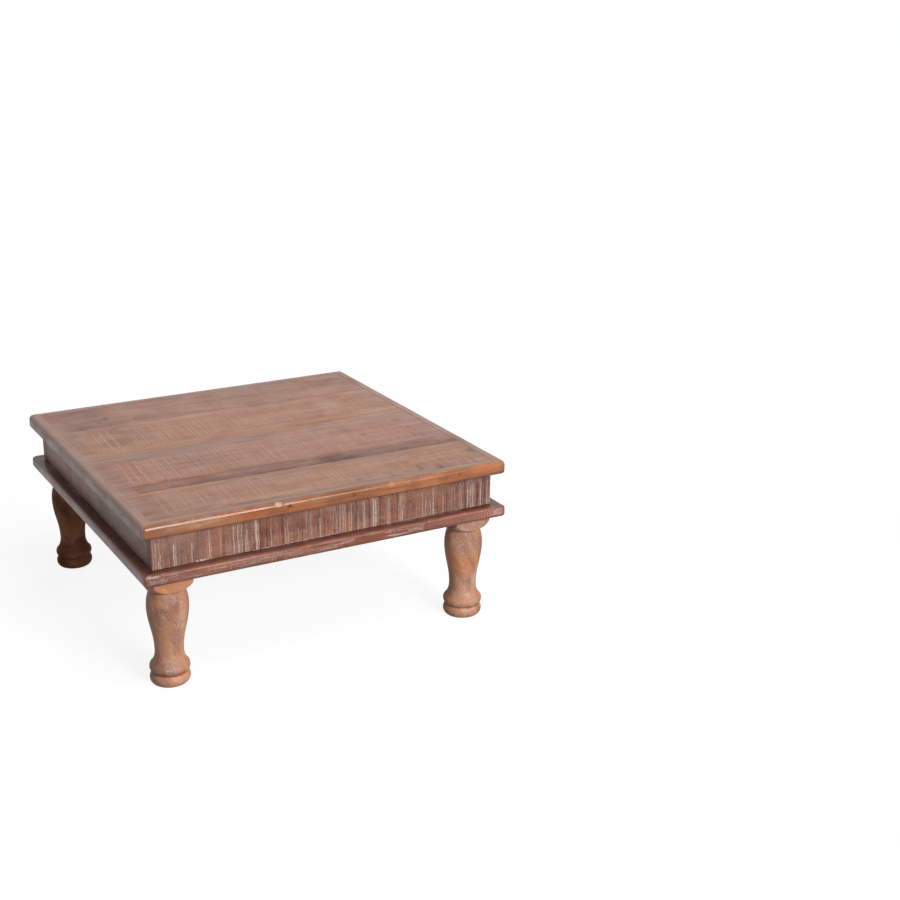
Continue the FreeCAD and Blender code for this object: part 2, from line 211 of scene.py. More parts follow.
class Nodes:
    """Short ways to build a node tree. Most methods return the socket that carries their result."""

    def __init__(self, tree):
        self.tree = tree

    def add(self, kind, inputs=None, **settings):
        """Add a node, change its settings, and link or set its inputs."""
        node = self.tree.nodes.new("ShaderNode" + kind)
        for name, value in settings.items():
            setattr(node, name, value)
        for name, value in (inputs or {}).items():
            self.put(node.inputs[name], value)
        return node

    def put(self, socket, value):
        """Link a socket, or set it to a plain value."""
        if isinstance(value, bpy.types.NodeSocket):
            self.tree.links.new(value, socket)
        else:
            socket.default_value = value

    def span(self, value, low, high, out_low=0.0, out_high=1.0, step="SMOOTHSTEP"):
        """Map a value from one range to another with a smooth step, or with a straight line."""
        inputs = dict(zip(RANGE_SOCKETS, (value, low, high, out_low, out_high)))
        return self.add("MapRange", inputs, interpolation_type=step).outputs["Result"]

    def math(self, kind, a, b):
        """One arithmetic step on two values."""
        return self.add("Math", {0: a, 1: b}, operation=kind).outputs[0]

    def product(self, *values):
        """Product of several values."""
        result = values[0]
        for value in values[1:]:
            result = self.math("MULTIPLY", result, value)
        return result

    def mix(self, amount, a, b, blend="MIX"):
        """Blend two colours."""
        inputs = {"Factor": amount, "A": a, "B": b}
        return self.add("Mix", inputs, data_type="RGBA", blend_type=blend).outputs["Result"]

    def tinted(self, amount, body, tint):
        """Multiply a colour by a tint, by an amount."""
        return self.mix(amount, body, self.mix(1.0, body, (*tint, 1), "MULTIPLY"))

    def shade(self, amount, low, high):
        """Blend two shaders."""
        return self.add("MixShader", {0: amount, 1: low, 2: high}).outputs[0]


class Wood(Nodes):
    """Node material for a stained, waxed board, on Object coordinates and the paint attribute: red is pale
    dust, and painted sheen in places, green is dark stain, and painted shade in places, blue warmth around a
    half, and alpha the places where tool marks show."""

    def __init__(self, name):
        self.material = bpy.data.materials.new(name)
        self.material.use_nodes = True
        super().__init__(self.material.node_tree)
        self.shader = self.tree.nodes["Principled BSDF"].inputs
        self.place = self.add("TexCoord").outputs["Object"]
        self.axes = self.add("SeparateXYZ", {0: self.place}).outputs
        attribute = self.add("Attribute", attribute_name="paint").outputs
        self.marked = attribute["Alpha"]
        self.paint = self.add("SeparateColor", {"Color": attribute["Color"]}).outputs

    def grain(self, along, across, axis, detail, distortion=0.0, shift=(0, 0, 0)):
        """Noise with a number of cells per metre along an axis, and another number across it."""
        scale = tuple(along if n == axis else across for n in range(3))
        vector = self.add("Mapping", {"Vector": self.place, "Scale": scale, "Location": shift}).outputs[0]
        inputs = {"Vector": vector, "Scale": 1, "Detail": detail, "Distortion": distortion}
        return self.add("TexNoise", inputs).outputs["Fac"]

    def bump(self, height, distance, strength=1.0, normal=None):
        """Tilt the normal by a height field of a depth in millimetres."""
        node = self.add("Bump", {"Strength": strength, "Distance": distance * MM, "Height": height})
        if normal is not None:
            self.put(node.inputs["Normal"], normal)
        return node.outputs["Normal"]

    def lines(self, axis, pitch, width, bend_by, breaks, seed, up=2, slant=0.0, whole=(0.4, 0.58)):
        """Thin lines across one axis, at the points of a one-dimensional cell pattern: distance to a point
        makes the line, and the point's random colour its strength. Slow noise bends the lines, and a
        noise of a given number of breaks per metre interrupts them where it is below the range called whole.
        A slant leans the lines along the axis called up. Sizes are in millimetres."""
        shift = tuple(part * seed for part in LINE_SHIFTS)
        per_metre = 1 / (pitch * MM)
        bend = self.math("SUBTRACT", self.grain(5, 13, axis, 2, 0, shift), 0.5)
        place = self.math("ADD", self.axes[axis], self.product(bend, bend_by * MM))
        place = self.math("ADD", place, self.product(self.axes[up], slant))
        place = self.math("ADD", place, 13 * MM * seed)
        inputs = {"W": place, "Scale": per_metre, "Randomness": LINE_LOOSENESS}
        cells = self.add("TexVoronoi", None, voronoi_dimensions="1D")
        for name, value in inputs.items():
            self.put(cells.inputs[name], value)
        chance = self.add("SeparateColor", {"Color": cells.outputs["Color"]}).outputs["Red"]
        line = self.span(cells.outputs["Distance"], 0.25 * width / pitch, width / pitch, 1.0, 0.0)
        broken = self.grain(0.5 * per_metre, breaks, axis, 3, 0, shift)
        return self.product(line, self.span(chance, 0.0, 1.0, LINE_FAINTEST, 1.0), self.span(broken, *whole))


def stained_wood(
    name, tones, axis, dust, roughness, seed, marks=None, figure=1.0, depth=0.12, shine=0.5,
    between=(1, 1, 1), grain=1.0, patchy=0.3,
):
    """Stained wood from three tones (dark, middle, light) and the colour of its dust, with its grain along
    one axis. Figure is how plainly the tones part, grain how plainly streaks, fibre and pores show, depth
    that of the fibre, and patchy how broken the dust is. Tool marks are drawn by a function of the material
    and of the axis, and the wood between them takes a tint."""
    wood = Wood(name)
    shift = (0.37 * seed, 0.61 * seed, 0.23 * seed)
    broad, streak, fibre, mottle, pores, grit, clumps = (
        wood.grain(along, across, axis, *rest, shift) for along, across, *rest in WOOD_GRAINS.values()
    )
    clumps = wood.span(clumps, 0.4, 0.6, 1 - patchy, 1.0)
    warm = wood.math("SUBTRACT", wood.paint["Blue"], 0.5)
    dark, middle, light = ((*tone, 1) for tone in tones)
    body = wood.mix(wood.span(broad, 0.5 - 0.2 / figure, 0.5 + 0.2 / figure), dark, light)
    body = wood.mix(0.4, body, middle)
    body = wood.mix(wood.span(mottle, 0.35, 0.7, 0.0, 0.5), body, middle)
    for value, low, high, amount, tint in (
        (streak, 0.46, 0.66, 0.7 * grain, STREAK_TINT),
        (warm, 0.0, 0.5, 1.0, WARM_TINT),
        (warm, 0.0, -0.5, 1.0, COOL_TINT),
        (fibre, 0.65, 0.3, grain, FIBRE_TINT),
        (pores, 0.64, 0.74, 0.6 * grain, PORE_TINT),
    ):
        body = wood.tinted(wood.span(value, low, high, 0.0, amount), body, tint)
    # Green paint darkens: real stain, and painted shade where a piece's paint puts it there
    stain = wood.product(wood.paint["Green"], wood.span(mottle, 0.2, 0.6, 0.7, 1.0))
    body = wood.tinted(stain, body, STAIN_AND_SHADE_TINT)
    # Red paint turns it pale: dust, and painted sheen where a piece's paint puts it there
    pale = wood.product(wood.paint["Red"], wood.span(grit, 0.32, 0.6, 0.45, 1.0), clumps)
    normal = wood.bump(wood.product(pores, -1.0), depth, 0.5, wood.bump(fibre, depth))
    if marks:
        body = wood.tinted(wood.marked, body, between)
        drawn = wood.product(marks(wood, axis), wood.marked, clumps)
        pale = wood.math("MAXIMUM", pale, wood.product(drawn, wood.span(grit, 0.3, 0.55, 0.6, 1.0)))
        normal = wood.bump(wood.product(drawn, -1.0), MARK_DEPTH, 0.7, normal)
    uneven = wood.span(mottle, 0.3, 0.7, roughness - 0.06, roughness + 0.08)
    wood.put(wood.shader["Base Color"], wood.mix(pale, body, (*dust, 1)))
    wood.put(wood.shader["Roughness"], wood.math("ADD", uneven, wood.product(pale, 0.35)))
    wood.put(wood.shader["Specular IOR Level"], shine)
    wood.put(wood.shader["Normal"], normal)
    return wood.material


def plank_marks(wood, axis):
    """Coarse saw lines three millimetres apart, and fainter fine ones between them, all leaning a little."""
    coarse = wood.lines(axis, **PLANK_COARSE, **PLANK_LEAN)
    fine = wood.lines(axis, **PLANK_FINE, **PLANK_LEAN)
    return wood.math("MAXIMUM", coarse, wood.product(fine, PLANK_FINE_SHARE))


def plank_edge_lines(node):
    """Front and back edge of a plank at its left and right end, read from the corners of its CAD solid."""
    points = np.array([v.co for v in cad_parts[node].data.vertices]) / MM
    left = points[points[:, 0] < points[:, 0].min() + 1]
    right = points[points[:, 0] > points[:, 0].max() - 1]
    return left[:, 1].min(), left[:, 1].max(), right[:, 1].min(), right[:, 1].max()


def plank_paint(x, y, seam, end, plan):
    """Paint of a plank: its own patches over a slow cloud, a darker line at its joints, and marks where the
    saw has bitten, in uneven groups that fade out before the seams."""
    seed = plan["seed"]
    cloud = layered(x / 46, y / 15, seed + 50)
    waver = layered(x / 5, y / 16, seed + 70, 3) - 0.5
    stain, warm, dust = patches(x, y, plan["patches"], 10 * seed)
    sawn = np.zeros(x.shape)
    for x0, x1, y0, y1, soft, amount in plan["sawn"]:
        uneven = 1.6 * soft * waver
        sawn += amount * window(x + uneven, x0, x1, soft) * window(y + uneven, y0, y1, soft)
    groups = blots(x / 26, y / 30, seed + 3, 0.25, 0.6, 3)
    joint = np.exp(-seam / PLANK_JOINT) * blots(x / 14, y / 9, seed + 2, 0.1, 0.5, 2)
    at_end = np.exp(-end / PLANK_JOINT)
    stain += plan["stain"] + 0.3 * rise(cloud, 0.55, 0.8)
    stain += plan["joint"] * joint + PLANK_END_STAIN * at_end * (x > 0)
    warm += plan["warm"] + 0.35 * (cloud - 0.5)
    dust += PLANK_END_DUST * at_end * (x < 0)
    return np.stack([dust, stain, warm, sawn * (0.65 + 0.35 * groups)], -1)


def make_plank(node, plan):
    """A board swept from left to right. Its width follows the two seams. The top drops by the eased edges and
    by slow wear. Paint is placed as if both seams were straight."""
    low, high = np.array(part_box(node)) / MM
    front_left, back_left, front_right, back_right = plank_edge_lines(node)
    share = spread(int((high[0] - low[0]) / PLANK_STEP))[:, None]
    across, up = board_loop(int((high[1] - low[1]) / PLANK_STEP_ACROSS) + PLANK_EDGE_STEPS)
    x = low[0] + (high[0] - low[0]) * share + 0 * across
    front = front_left + (front_right - front_left) * share
    back = back_left + (back_right - back_left) * share
    y = front + (back - front) * across
    straight = front_left + (back_left - front_left) * across + 0 * share
    seam = np.minimum(y - front, back - y)
    end = np.minimum(x - low[0], high[0] - x)
    wear = layered(x / 60, y / 30, plan["seed"] + 21)
    drop = easing(seam, PLANK_ARRIS) + easing(end, PLANK_END_ARRIS) + PLANK_WEAR * wear
    z = low[2] + up * (TOP_Z - low[2]) - drop * (up == 1)
    tones = [tuple(part * shade for part in plan["tone"]) for shade in PLANK_SHADES]
    wood = stained_wood(
        "waxed_" + node, tones, 0, SAWDUST, 0.42, plan["seed"], plank_marks, shine=0.3, between=SAWN_TINT
    )
    paint = plank_paint(x, straight, seam, end, plan)
    skin(node + "_sawn", np.stack([x, y, z], -1), paint, node, wood)


TOP_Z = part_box("top_plank_back")[1].z / MM
PLANKS = {
    "top_plank_back": {
        "seed": 1,
        "tone": (0.45, 0.24, 0.178),
        "stain": 0.04,
        "warm": 0.45,
        "joint": 0.15,
        "sawn": ((-122, -80, 125, 178, 6, 0.5), (-60, 165, 122, 178, 8, 0.5)),
        "patches": (
            (-188, -116, 112, 188, 9, 0.22), (-184, -158, 111, 121, 3, 0.4, 0.15),
            (-160, -112, 112, 121, 3, 0.28, -0.2, 0.05), (-140, -136, 125, 129, 1, 0.8),
            (-129, -125, 133, 146, 1.5, 0.55), (-165, -135, 174, 183, 4, 0.35),
            (-118, -84, 128, 168, 8, -0.1, 0.22), (-80, 130, 180, 190, 3, 0.08, -0.3, 0.1),
            (60, 125, 150, 170, 8, 0.15), (115, 150, 140, 175, 8, 0.1, 0.3),
            (150, 170, 155, 172, 5, 0.25, -0.25), (90, 112, 112, 119, 3, 0.4, 0.2),
            (150, 160, 112, 117, 2, 0.3, 0.4), (160, 172, 112, 120, 3, 0.3, 0.1),
            (183, 190, 110, 190, 4, 0, -0.3, 0.15),
        ),
    },
    "top_plank_mid_back": {
        "seed": 2,
        "tone": (0.47, 0.255, 0.172),
        "stain": 0,
        "warm": 0.52,
        "joint": 0.25,
        "sawn": ((-172, 0, 32, 99, 4, 1), (0, 50, 32, 99, 5, 0.8), (50, 168, 28, 97, 5, 0.7)),
        "patches": (
            (-188, -173, 26, 108, 2, 0.2, -0.25, 0.06), (-112, 0, 101, 111, 2, 0, 0.05, 0.25),
            (90, 170, 101, 111, 2, 0, 0.2, 0.2), (-160, -115, 96, 109, 4, 0.22, -0.25, 0.04),
            (-132, -108, 70, 95, 6, 0.3, -0.3), (-135, -100, 45, 70, 7, 0.2, -0.25),
            (-172, 188, 8, 31, 3, -0.02, 0.16, 0.04), (134, 158, 48, 82, 5, 0.25, 0.25),
            (162, 188, 8, 108, 7, 0, -0.35, 0.12), (185, 189, 80, 84, 1, 0.6),
            (-178, -175, 8, 20, 1, 0.3, 0.8), (-188, 188, 2, 8, 2.5, 0.05, -0.35, 0.15),
        ),
    },
    "top_plank_mid_front": {
        "seed": 3,
        "tone": (0.45, 0.238, 0.18),
        "stain": 0,
        "warm": 0.48,
        "joint": 0.3,
        "sawn": (
            (-171, -135, -83, -16, 2.5, 1), (-135, 0, -85, -14, 4, 0.9), (0, 168, -86, -13, 5, 0.75),
        ),
        "patches": (
            (-188, 188, -9, 6, 3, 0, -0.4, 0.22), (-188, -172, -108, -14, 2.5, 0.2, -0.2, 0.06),
            (-172, -130, -52, -20, 4, 0, 0.15), (-100, -68, -55, -33, 8, 0.25, -0.35),
            (-174, 172, -112, -87, 2.5, 0.5, 0.12), (-174, -70, -96, -85, 3, -0.1, 0.35),
            (-140, 130, -112, -103, 2.5, 0.25, -0.3, 0.04), (0, 55, -100, -93, 2, 0.25, 0.2),
            (100, 172, -108, -92, 4, -0.1, 0.15), (172, 190, -116, -100, 4, 0.4, -0.4),
            (103, 108, -53, -44, 1.2, 0.6, -0.2), (161, 166, -22, -15, 1.5, 0.55, -0.2),
            (162, 166, -47, -41, 1.5, 0.5, -0.2), (162, 166, -82, -77, 1.5, 0.4),
            (155, 160, -74, -62, 2, 0.2, 0.3), (168, 190, -96, -6, 6, -0.05, -0.3, 0.15),
        ),
    },
    "top_plank_front": {
        "seed": 4,
        "tone": (0.43, 0.24, 0.167),
        "stain": 0.02,
        "warm": 0.52,
        "joint": 0.25,
        "sawn": (
            (-186, -92, -117.5, -112, 0.8, 0.55), (-170, -60, -178, -126, 5, 0.75),
            (-60, 175, -178, -127, 5, 0.75),
        ),
        "patches": (
            (-188, -84, -117, -111, 1.5, -0.1, 0.3, 0.08), (-57, -51, -126, -121.5, 1, 0.7, -0.1),
            (-52, -47, -123, -118, 1.2, -0.1, -0.2, 0.35), (-188, -166, -190, -122, 6, 0.2, -0.1),
            (-188, -155, -190, -165, 6, 0.3), (-152, -120, -190, -176, 4, 0.2, -0.4, 0.08),
            (-112, -76, -190, -181, 3, 0.45, 0.25), (-36, -22, -190, -187.5, 1, 0.7, -0.2),
            (-60, 170, -172, -120, 10, 0, 0.1, 0.08), (33, 39, -182, -176, 2, 0.25, -0.4),
            (70, 76, -186, -170, 2, 0.3, -0.4), (106, 112, -183, -167, 2, 0.4, -0.5),
            (126, 133, -188, -173, 2, 0.35, -0.5), (154, 165, -190, -172, 3, 0.25, -0.4),
            (169, 172, -188, -165, 1, 0.7, -0.1), (181, 188, -160, -140, 2, 0.35, -0.4),
            (136, 146, -176, -164, 3, 0, 0.25), (-76, 188, -190, -184, 2, 0.22, -0.1),
        ),
    },
}
for node, plan in PLANKS.items():
    make_plank(node, plan)


# The border: four strips mitred at the corners and nailed round the planks, level with their top and a little
# thicker. The outer edge is rounded by hand and rubbed: the upper arris is worn smooth and bright, with one
# pale chip on the front. The corner at the back left is worn rounder.
BORDER_W = 11.8
BORDER_UPPER_R = 5.0
BORDER_LOWER_R = 3.4
BORDER_CORNER_R = 5.0
BORDER_LIP = 1.6
BACK_LEFT_CORNER_R = 7.0
BORDER_STEP = 0.8
BORDER_ARRIS = 3.2
BRAD_PLACES = (-143, -49, 49, 143)
BRAD_DEPTH = 6.5
BRAD_DIMPLE_R = 1.2
BRAD_PUNCH = 0.7
BORDER_RUB = 0.2
CHIP_DEPTH = 0.5
BORDER_SINK = {"rubbed": 0.16, "nicks": 0.1, "chip": 0.4, "top": 0.04}
SIDES = ("front", "right", "back", "left")
LONG_SIDES = ("front", "back")
# Painted shade: a darker, cooler row along the lower edge of every strip, under its face
BORDER_FOOT_SHADE = (-200, 200, 13, 16, 0.8, 0.15, -0.1)
BORDER_PATCHES = {
    "front": (
        (-64, -58, 0.6, 3.4, 1.2, -0.3, -0.2, 0.95), (60, 66, 1, 5, 2, 0, 0, 0.3),
        (79, 85, 3, 6, 1.6, 0, -0.1, 0.15), (-180, -120, 3, 8, 3, 0, -0.2, 0.16),
        (-200, -100, 3, 12, 2, -0.05, 0.1, 0.1), (-52, -46, 5, 8, 1.2, 0.5), (18, 23, 4, 7, 1.2, 0.4),
        (118, 130, 5, 9, 2, 0.3), (-110, -30, 4, 9, 3, 0, 0.25), (60, 195, 3, 10, 4, 0.05, 0.2, 0.04),
        BORDER_FOOT_SHADE,
    ),
    "left": (
        (-92, -86, 4, 8, 1.4, 0.75, -0.1), (-190, 190, 10.6, 12.2, 0.5, -0.2, 0, 0.4),
        (100, 124, 2, 8, 2, 0.4, 0.2), (30, 44, 2, 8, 2, 0.3, -0.2), (-140, -128, 2, 8, 2, 0.3, 0.1),
        (-190, -60, 3, 9, 4, 0.1, -0.25, 0.1), (-20, 60, 3, 9, 4, 0.15, -0.3, 0.06),
        (90, 190, 3, 9, 4, 0.12, -0.25, 0.1), BORDER_FOOT_SHADE,
    ),
    "back": ((-90, 40, 3, 9, 4, 0.1, 0.1, 0.05), BORDER_FOOT_SHADE),
    "right": ((-60, 120, 3, 9, 4, 0.2, -0.1, 0.08), BORDER_FOOT_SHADE),
}
# Warmth of the face and of the top, pale dust and painted sheen on each, stain in the inner joint and dust in
# the mitre
BORDER_TINTS = {
    "front": (0.72, 0.2, 0, 0.12, 0.4, 0.5),
    "right": (0.45, 0.3, 0.08, 0.14, 0.04, 0.1),
    "back": (0.55, 0.16, 0.04, 0.18, 0.2, 0.1),
    "left": (0.25, -0.15, 0.12, 0.3, 0.05, 0.35),
}
BORDER_TONES = ((0.27, 0.118, 0.062), (0.37, 0.163, 0.085), (0.45, 0.21, 0.112))
BORDER_SIDE_TONES = ((0.31, 0.163, 0.113), (0.4, 0.212, 0.152), (0.46, 0.26, 0.188))
CHIP_DUST_AND_SHEEN = (0.66, 0.47, 0.34)


def strip_loop(width, low, high, upper_r, lower_r, count):
    """Closed loop of (distance in from the outer edge, height) round a strip: over the upper rounding, in
    along the top, down the inner side, out along the bottom, round the foot and up the face."""
    turn = np.linspace(0, np.pi / 2, count)
    head = np.stack([upper_r * (1 - np.cos(turn)), high - upper_r * (1 - np.sin(turn))], 1)
    top = np.stack([upper_r + (width - upper_r) * spread(2 * count)[1:], np.full(2 * count - 1, high)], 1)
    inner = np.stack([np.full(4, width), np.linspace(high, low, 5)[1:]], 1)
    under = np.stack([width - (width - lower_r) * spread(count)[1:], np.full(count - 1, low)], 1)
    foot = np.stack([lower_r * (1 - np.sin(turn)), low + lower_r * (1 - np.cos(turn))], 1)[1:]
    face = np.stack([np.zeros(count - 2), np.linspace(low + lower_r, high - upper_r, count)[1:-1]], 1)
    return np.vstack([head, top, inner, under, foot, face])


def on_side(side, along, inward, half_w, half_d):
    """Plan place of a point given along a side, in the direction of X or Y, and inward from its edge."""
    if side in LONG_SIDES:
        return along, (inward - half_d) * (1 if side == "front" else -1)
    return (half_w - inward) * (1 if side == "right" else -1), along


def round_corner(x, y, half_w, half_d, radius):
    """Round the plan's corners: inside a corner square, (u, v) is scaled by max(u, v) / length(u, v), which
    turns the square's outer edges into a quarter circle."""
    radius = np.where((x < 0) & (y > 0), BACK_LEFT_CORNER_R, radius)
    u = np.clip(np.abs(x) - (half_w - radius), 0, None)
    v = np.clip(np.abs(y) - (half_d - radius), 0, None)
    factor = np.maximum(u, v) / np.maximum(np.hypot(u, v), 1e-6)
    both = (u > 0) & (v > 0)
    x = np.where(both, np.sign(x) * (half_w - radius + u * factor), x)
    y = np.where(both, np.sign(y) * (half_d - radius + v * factor), y)
    return x, y


def make_strip(node, side, half_size, loop, corner_r, step, wearing, material):
    """A mitred strip: the loop is carried along the side, and each of its points stops at the mitre, where
    its place along equals the half length less its distance in. Wear moves points in and down."""
    half = half_size[0] if side in LONG_SIDES else half_size[1]
    t = 2 * spread(int(2 * half / step))[:, None] - 1
    inward, height = (loop[None, :, n] + 0 * t for n in range(2))
    along = t * (half - inward)
    mitre = half - inward - np.abs(along)
    push, sink, paint = wearing(side, along, inward, height, mitre)
    x, y = on_side(side, along, inward + push, *half_size)
    x, y = round_corner(x, y, *half_size, corner_r)
    skin(node + "_worn", np.stack([x, y, height - sink], -1), paint, node, material)


def min_distance(along, places):
    """Distance to the nearest of several places."""
    return np.min([np.abs(along - place) for place in places], axis=0)


def border_wear(side, along, inward, height, mitre):
    """Rubbed arris: the nose is pushed in where slow noise is high, with small nicks, and round dimples show
    where the brads are punched below the face. Dust sits in the chip and the worn places, stain in the inner
    joint, painted shade along the lower edge under the face, a pale veil of dust and painted sheen over the
    face and the top, and a thin line at the mitre."""
    seed = 100 + SIDES.index(side) * 7
    face_warmth, top_warmth, face_dust_and_sheen, top_dust_and_sheen, joint_stain, mitre_dust = BORDER_TINTS[side]
    depth = TOP_Z - height
    arris = bell(inward, BORDER_ARRIS) * bell(depth, BORDER_ARRIS)
    rubbed = layered(along / 18, depth / 9, seed)
    nicks = blots(along / 3.5, depth / 3, seed + 1, 0.66, 0.8, 3)
    dimple = bell(min_distance(along, BRAD_PLACES), BRAD_DIMPLE_R) * bell(depth - BRAD_DEPTH, BRAD_DIMPLE_R)
    dimple = dimple * (inward < 1)
    stain, warm, dust = patches(along, depth, BORDER_PATCHES[side], seed) * (inward < 4)
    chip = np.clip(dust - 0.3, 0, 1)
    push = arris * BORDER_RUB * (rubbed + nicks) + CHIP_DEPTH * chip + BRAD_PUNCH * dimple
    sink = BORDER_SINK["rubbed"] * rubbed + BORDER_SINK["nicks"] * nicks + BORDER_SINK["chip"] * chip
    sink = arris * sink + BORDER_SINK["top"] * rubbed
    top = height > TOP_Z - 1
    flat = rise(inward, 1.6, 3.6) * top
    joint = bell(BORDER_W - inward, 0.7) * top
    stain += joint_stain * joint + 0.3 * blots(along / 30, inward / 6, seed + 2, 0.45, 0.7, 3) + 0.8 * dimple
    dust += face_dust_and_sheen + (top_dust_and_sheen - face_dust_and_sheen) * flat + 0.25 * arris * rise(nicks, 0.3, 1.0)
    dust += 0.3 * (side == "left") * joint + mitre_dust * bell(mitre, 0.5) * (along < 0)
    warm += face_warmth + (top_warmth - face_warmth) * flat
    warm += 0.3 * (layered(along / 40, depth / 4, seed + 3) - 0.5)
    return push, sink, np.stack([dust, stain, warm, 0 * dust], -1)


border_low = np.array(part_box("top_border_front")[0]) / MM
border_half = (-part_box("top_border_left")[0].x / MM, -border_low[1])
border_loop = strip_loop(BORDER_W, border_low[2] - BORDER_LIP, TOP_Z, BORDER_UPPER_R, BORDER_LOWER_R, 10)
border_long = stained_wood("waxed_border_x", BORDER_TONES, 0, CHIP_DUST_AND_SHEEN, 0.2, 11, figure=1.5, shine=0.52)
border_side = stained_wood("waxed_border_y", BORDER_SIDE_TONES, 1, CHIP_DUST_AND_SHEEN, 0.36, 12, figure=1.4)
for side in SIDES:
    wood = border_long if side in LONG_SIDES else border_side
    node = "top_border_" + side
    make_strip(
        node, side, border_half, border_loop, BORDER_CORNER_R, BORDER_STEP, border_wear, wood
    )


# The apron: four rough-sawn boards on edge between the lower frame and the top. The saw left groups of
# upright grooves, and the limewash that was rubbed over them stays white in the grooves and along the lower
# edge. The front and back boards cover the ends of the side boards, and nails hold them.
APRON_STEP = 0.33
APRON_EDGE_R = 0.8
APRON_GROOVE = 0.35
APRON_SWELL = 0.35
APRON_BOLD = {"pitch": 3.4, "width": 0.6, "bend_by": 3, "breaks": 30, "seed": 3}
APRON_FINE = {"pitch": 1.25, "width": 0.4, "bend_by": 3, "breaks": 45, "seed": 4}
APRON_SCRATCH = {"pitch": 5.5, "width": 0.3, "bend_by": 9, "breaks": 90, "seed": 5, "slant": 0.8}
APRON_NAIL_PLACES = (-182, 182)
APRON_NAIL_DIMPLE_R = 1.4
APRON_NAIL_PUNCH = 0.6
APRON_CRUMB = 0.4
APRON_INNER_PAINT = (0.1, 0.25, 0.45, 0.05)
APRON_TONES = ((0.185, 0.07, 0.041), (0.275, 0.111, 0.067), (0.37, 0.163, 0.101))
LIMEWASH = (0.78, 0.66, 0.6)
# Groups of saw grooves: two limits along the board and how deep they are
APRON_GROUPS = {
    "front": (
        (-187, -180, 0.55), (-168, -163, 0.55), (-150, -146, 0.5), (-131, -129, 0.5), (-120, -118, 0.5),
        (-107, -88, 0.8), (-83, -78, 1), (-66, -64, 0.55), (-51, -46, 0.6), (-27, -21, 0.5),
        (-14, -11, 0.55), (-2, 14, 0.8), (20, 25, 0.6), (29, 39, 0.85), (46, 53, 1), (63, 68, 0.6),
        (77, 83, 0.6), (101, 115, 0.65), (117, 119, 1), (127, 129, 0.6), (138, 145, 0.6), (149, 154, 0.6),
        (158, 168, 0.85), (173, 177, 0.6), (181, 190, 0.65),
    ),
    "left": (
        (-180, -178, 0.3), (-148, -145, 0.3), (-106, -103, 0.3), (-65, -61, 0.3), (-25, -19, 0.5),
        (9, 13, 0.25), (40, 44, 0.3), (80, 86, 0.3), (107, 113, 0.25),
    ),
    "back": (
        (-170, -150, 0.7), (-118, -110, 0.6), (-84, -60, 0.7), (-20, 10, 0.6), (34, 42, 0.8),
        (70, 102, 0.6), (130, 140, 0.7), (160, 184, 0.6),
    ),
    "right": (
        (-168, -150, 0.5), (-122, -100, 0.6), (-70, -62, 0.6), (-30, -2, 0.5), (28, 36, 0.6),
        (66, 90, 0.5), (112, 120, 0.6), (146, 170, 0.5),
    ),
}
APRON_GROUND = {"front": 0.22, "back": 0.2, "left": 0.05, "right": 0.16}
APRON_QUIET = {"front": 1.0, "back": 0.85, "left": 0.65, "right": 0.65}
APRON_CRUMBS = {"front": ((-146, -134),), "left": (), "back": ((20, 40),), "right": ((-90, -76),)}
APRON_FOOT_DUST = {
    "front": (
        (-182, -168, 0.3), (-133, -124, 0.6), (-118, -98, 0.7), (-93, -87, 0.5), (-85, -18, 1),
        (-18, 20, 0.6), (46, 62, 0.35), (65, 116, 0.5), (143, 162, 0.3),
    ),
    "left": ((130, 160, 0.6), (40, 90, 0.5), (-60, -40, 0.4)),
    "back": ((-150, -60, 0.7), (-20, 110, 0.8)),
    "right": ((-120, -20, 0.7), (60, 150, 0.5)),
}


def swung_wash(start, pitch, count, strength, turns):
    """Rows of limewash lines for a side that no photograph shows: each value swings round its middle by the
    sine of the line's number times a turn."""
    n = np.arange(count)
    place, half_width, stop, amount = (np.sin(turn * n) for turn in turns)
    rows = [start + pitch * n + 3 * place, 0.6 + 0.2 * half_width, 20 + 11 * stop, strength + 0.3 * amount]
    return np.stack(rows, 1)


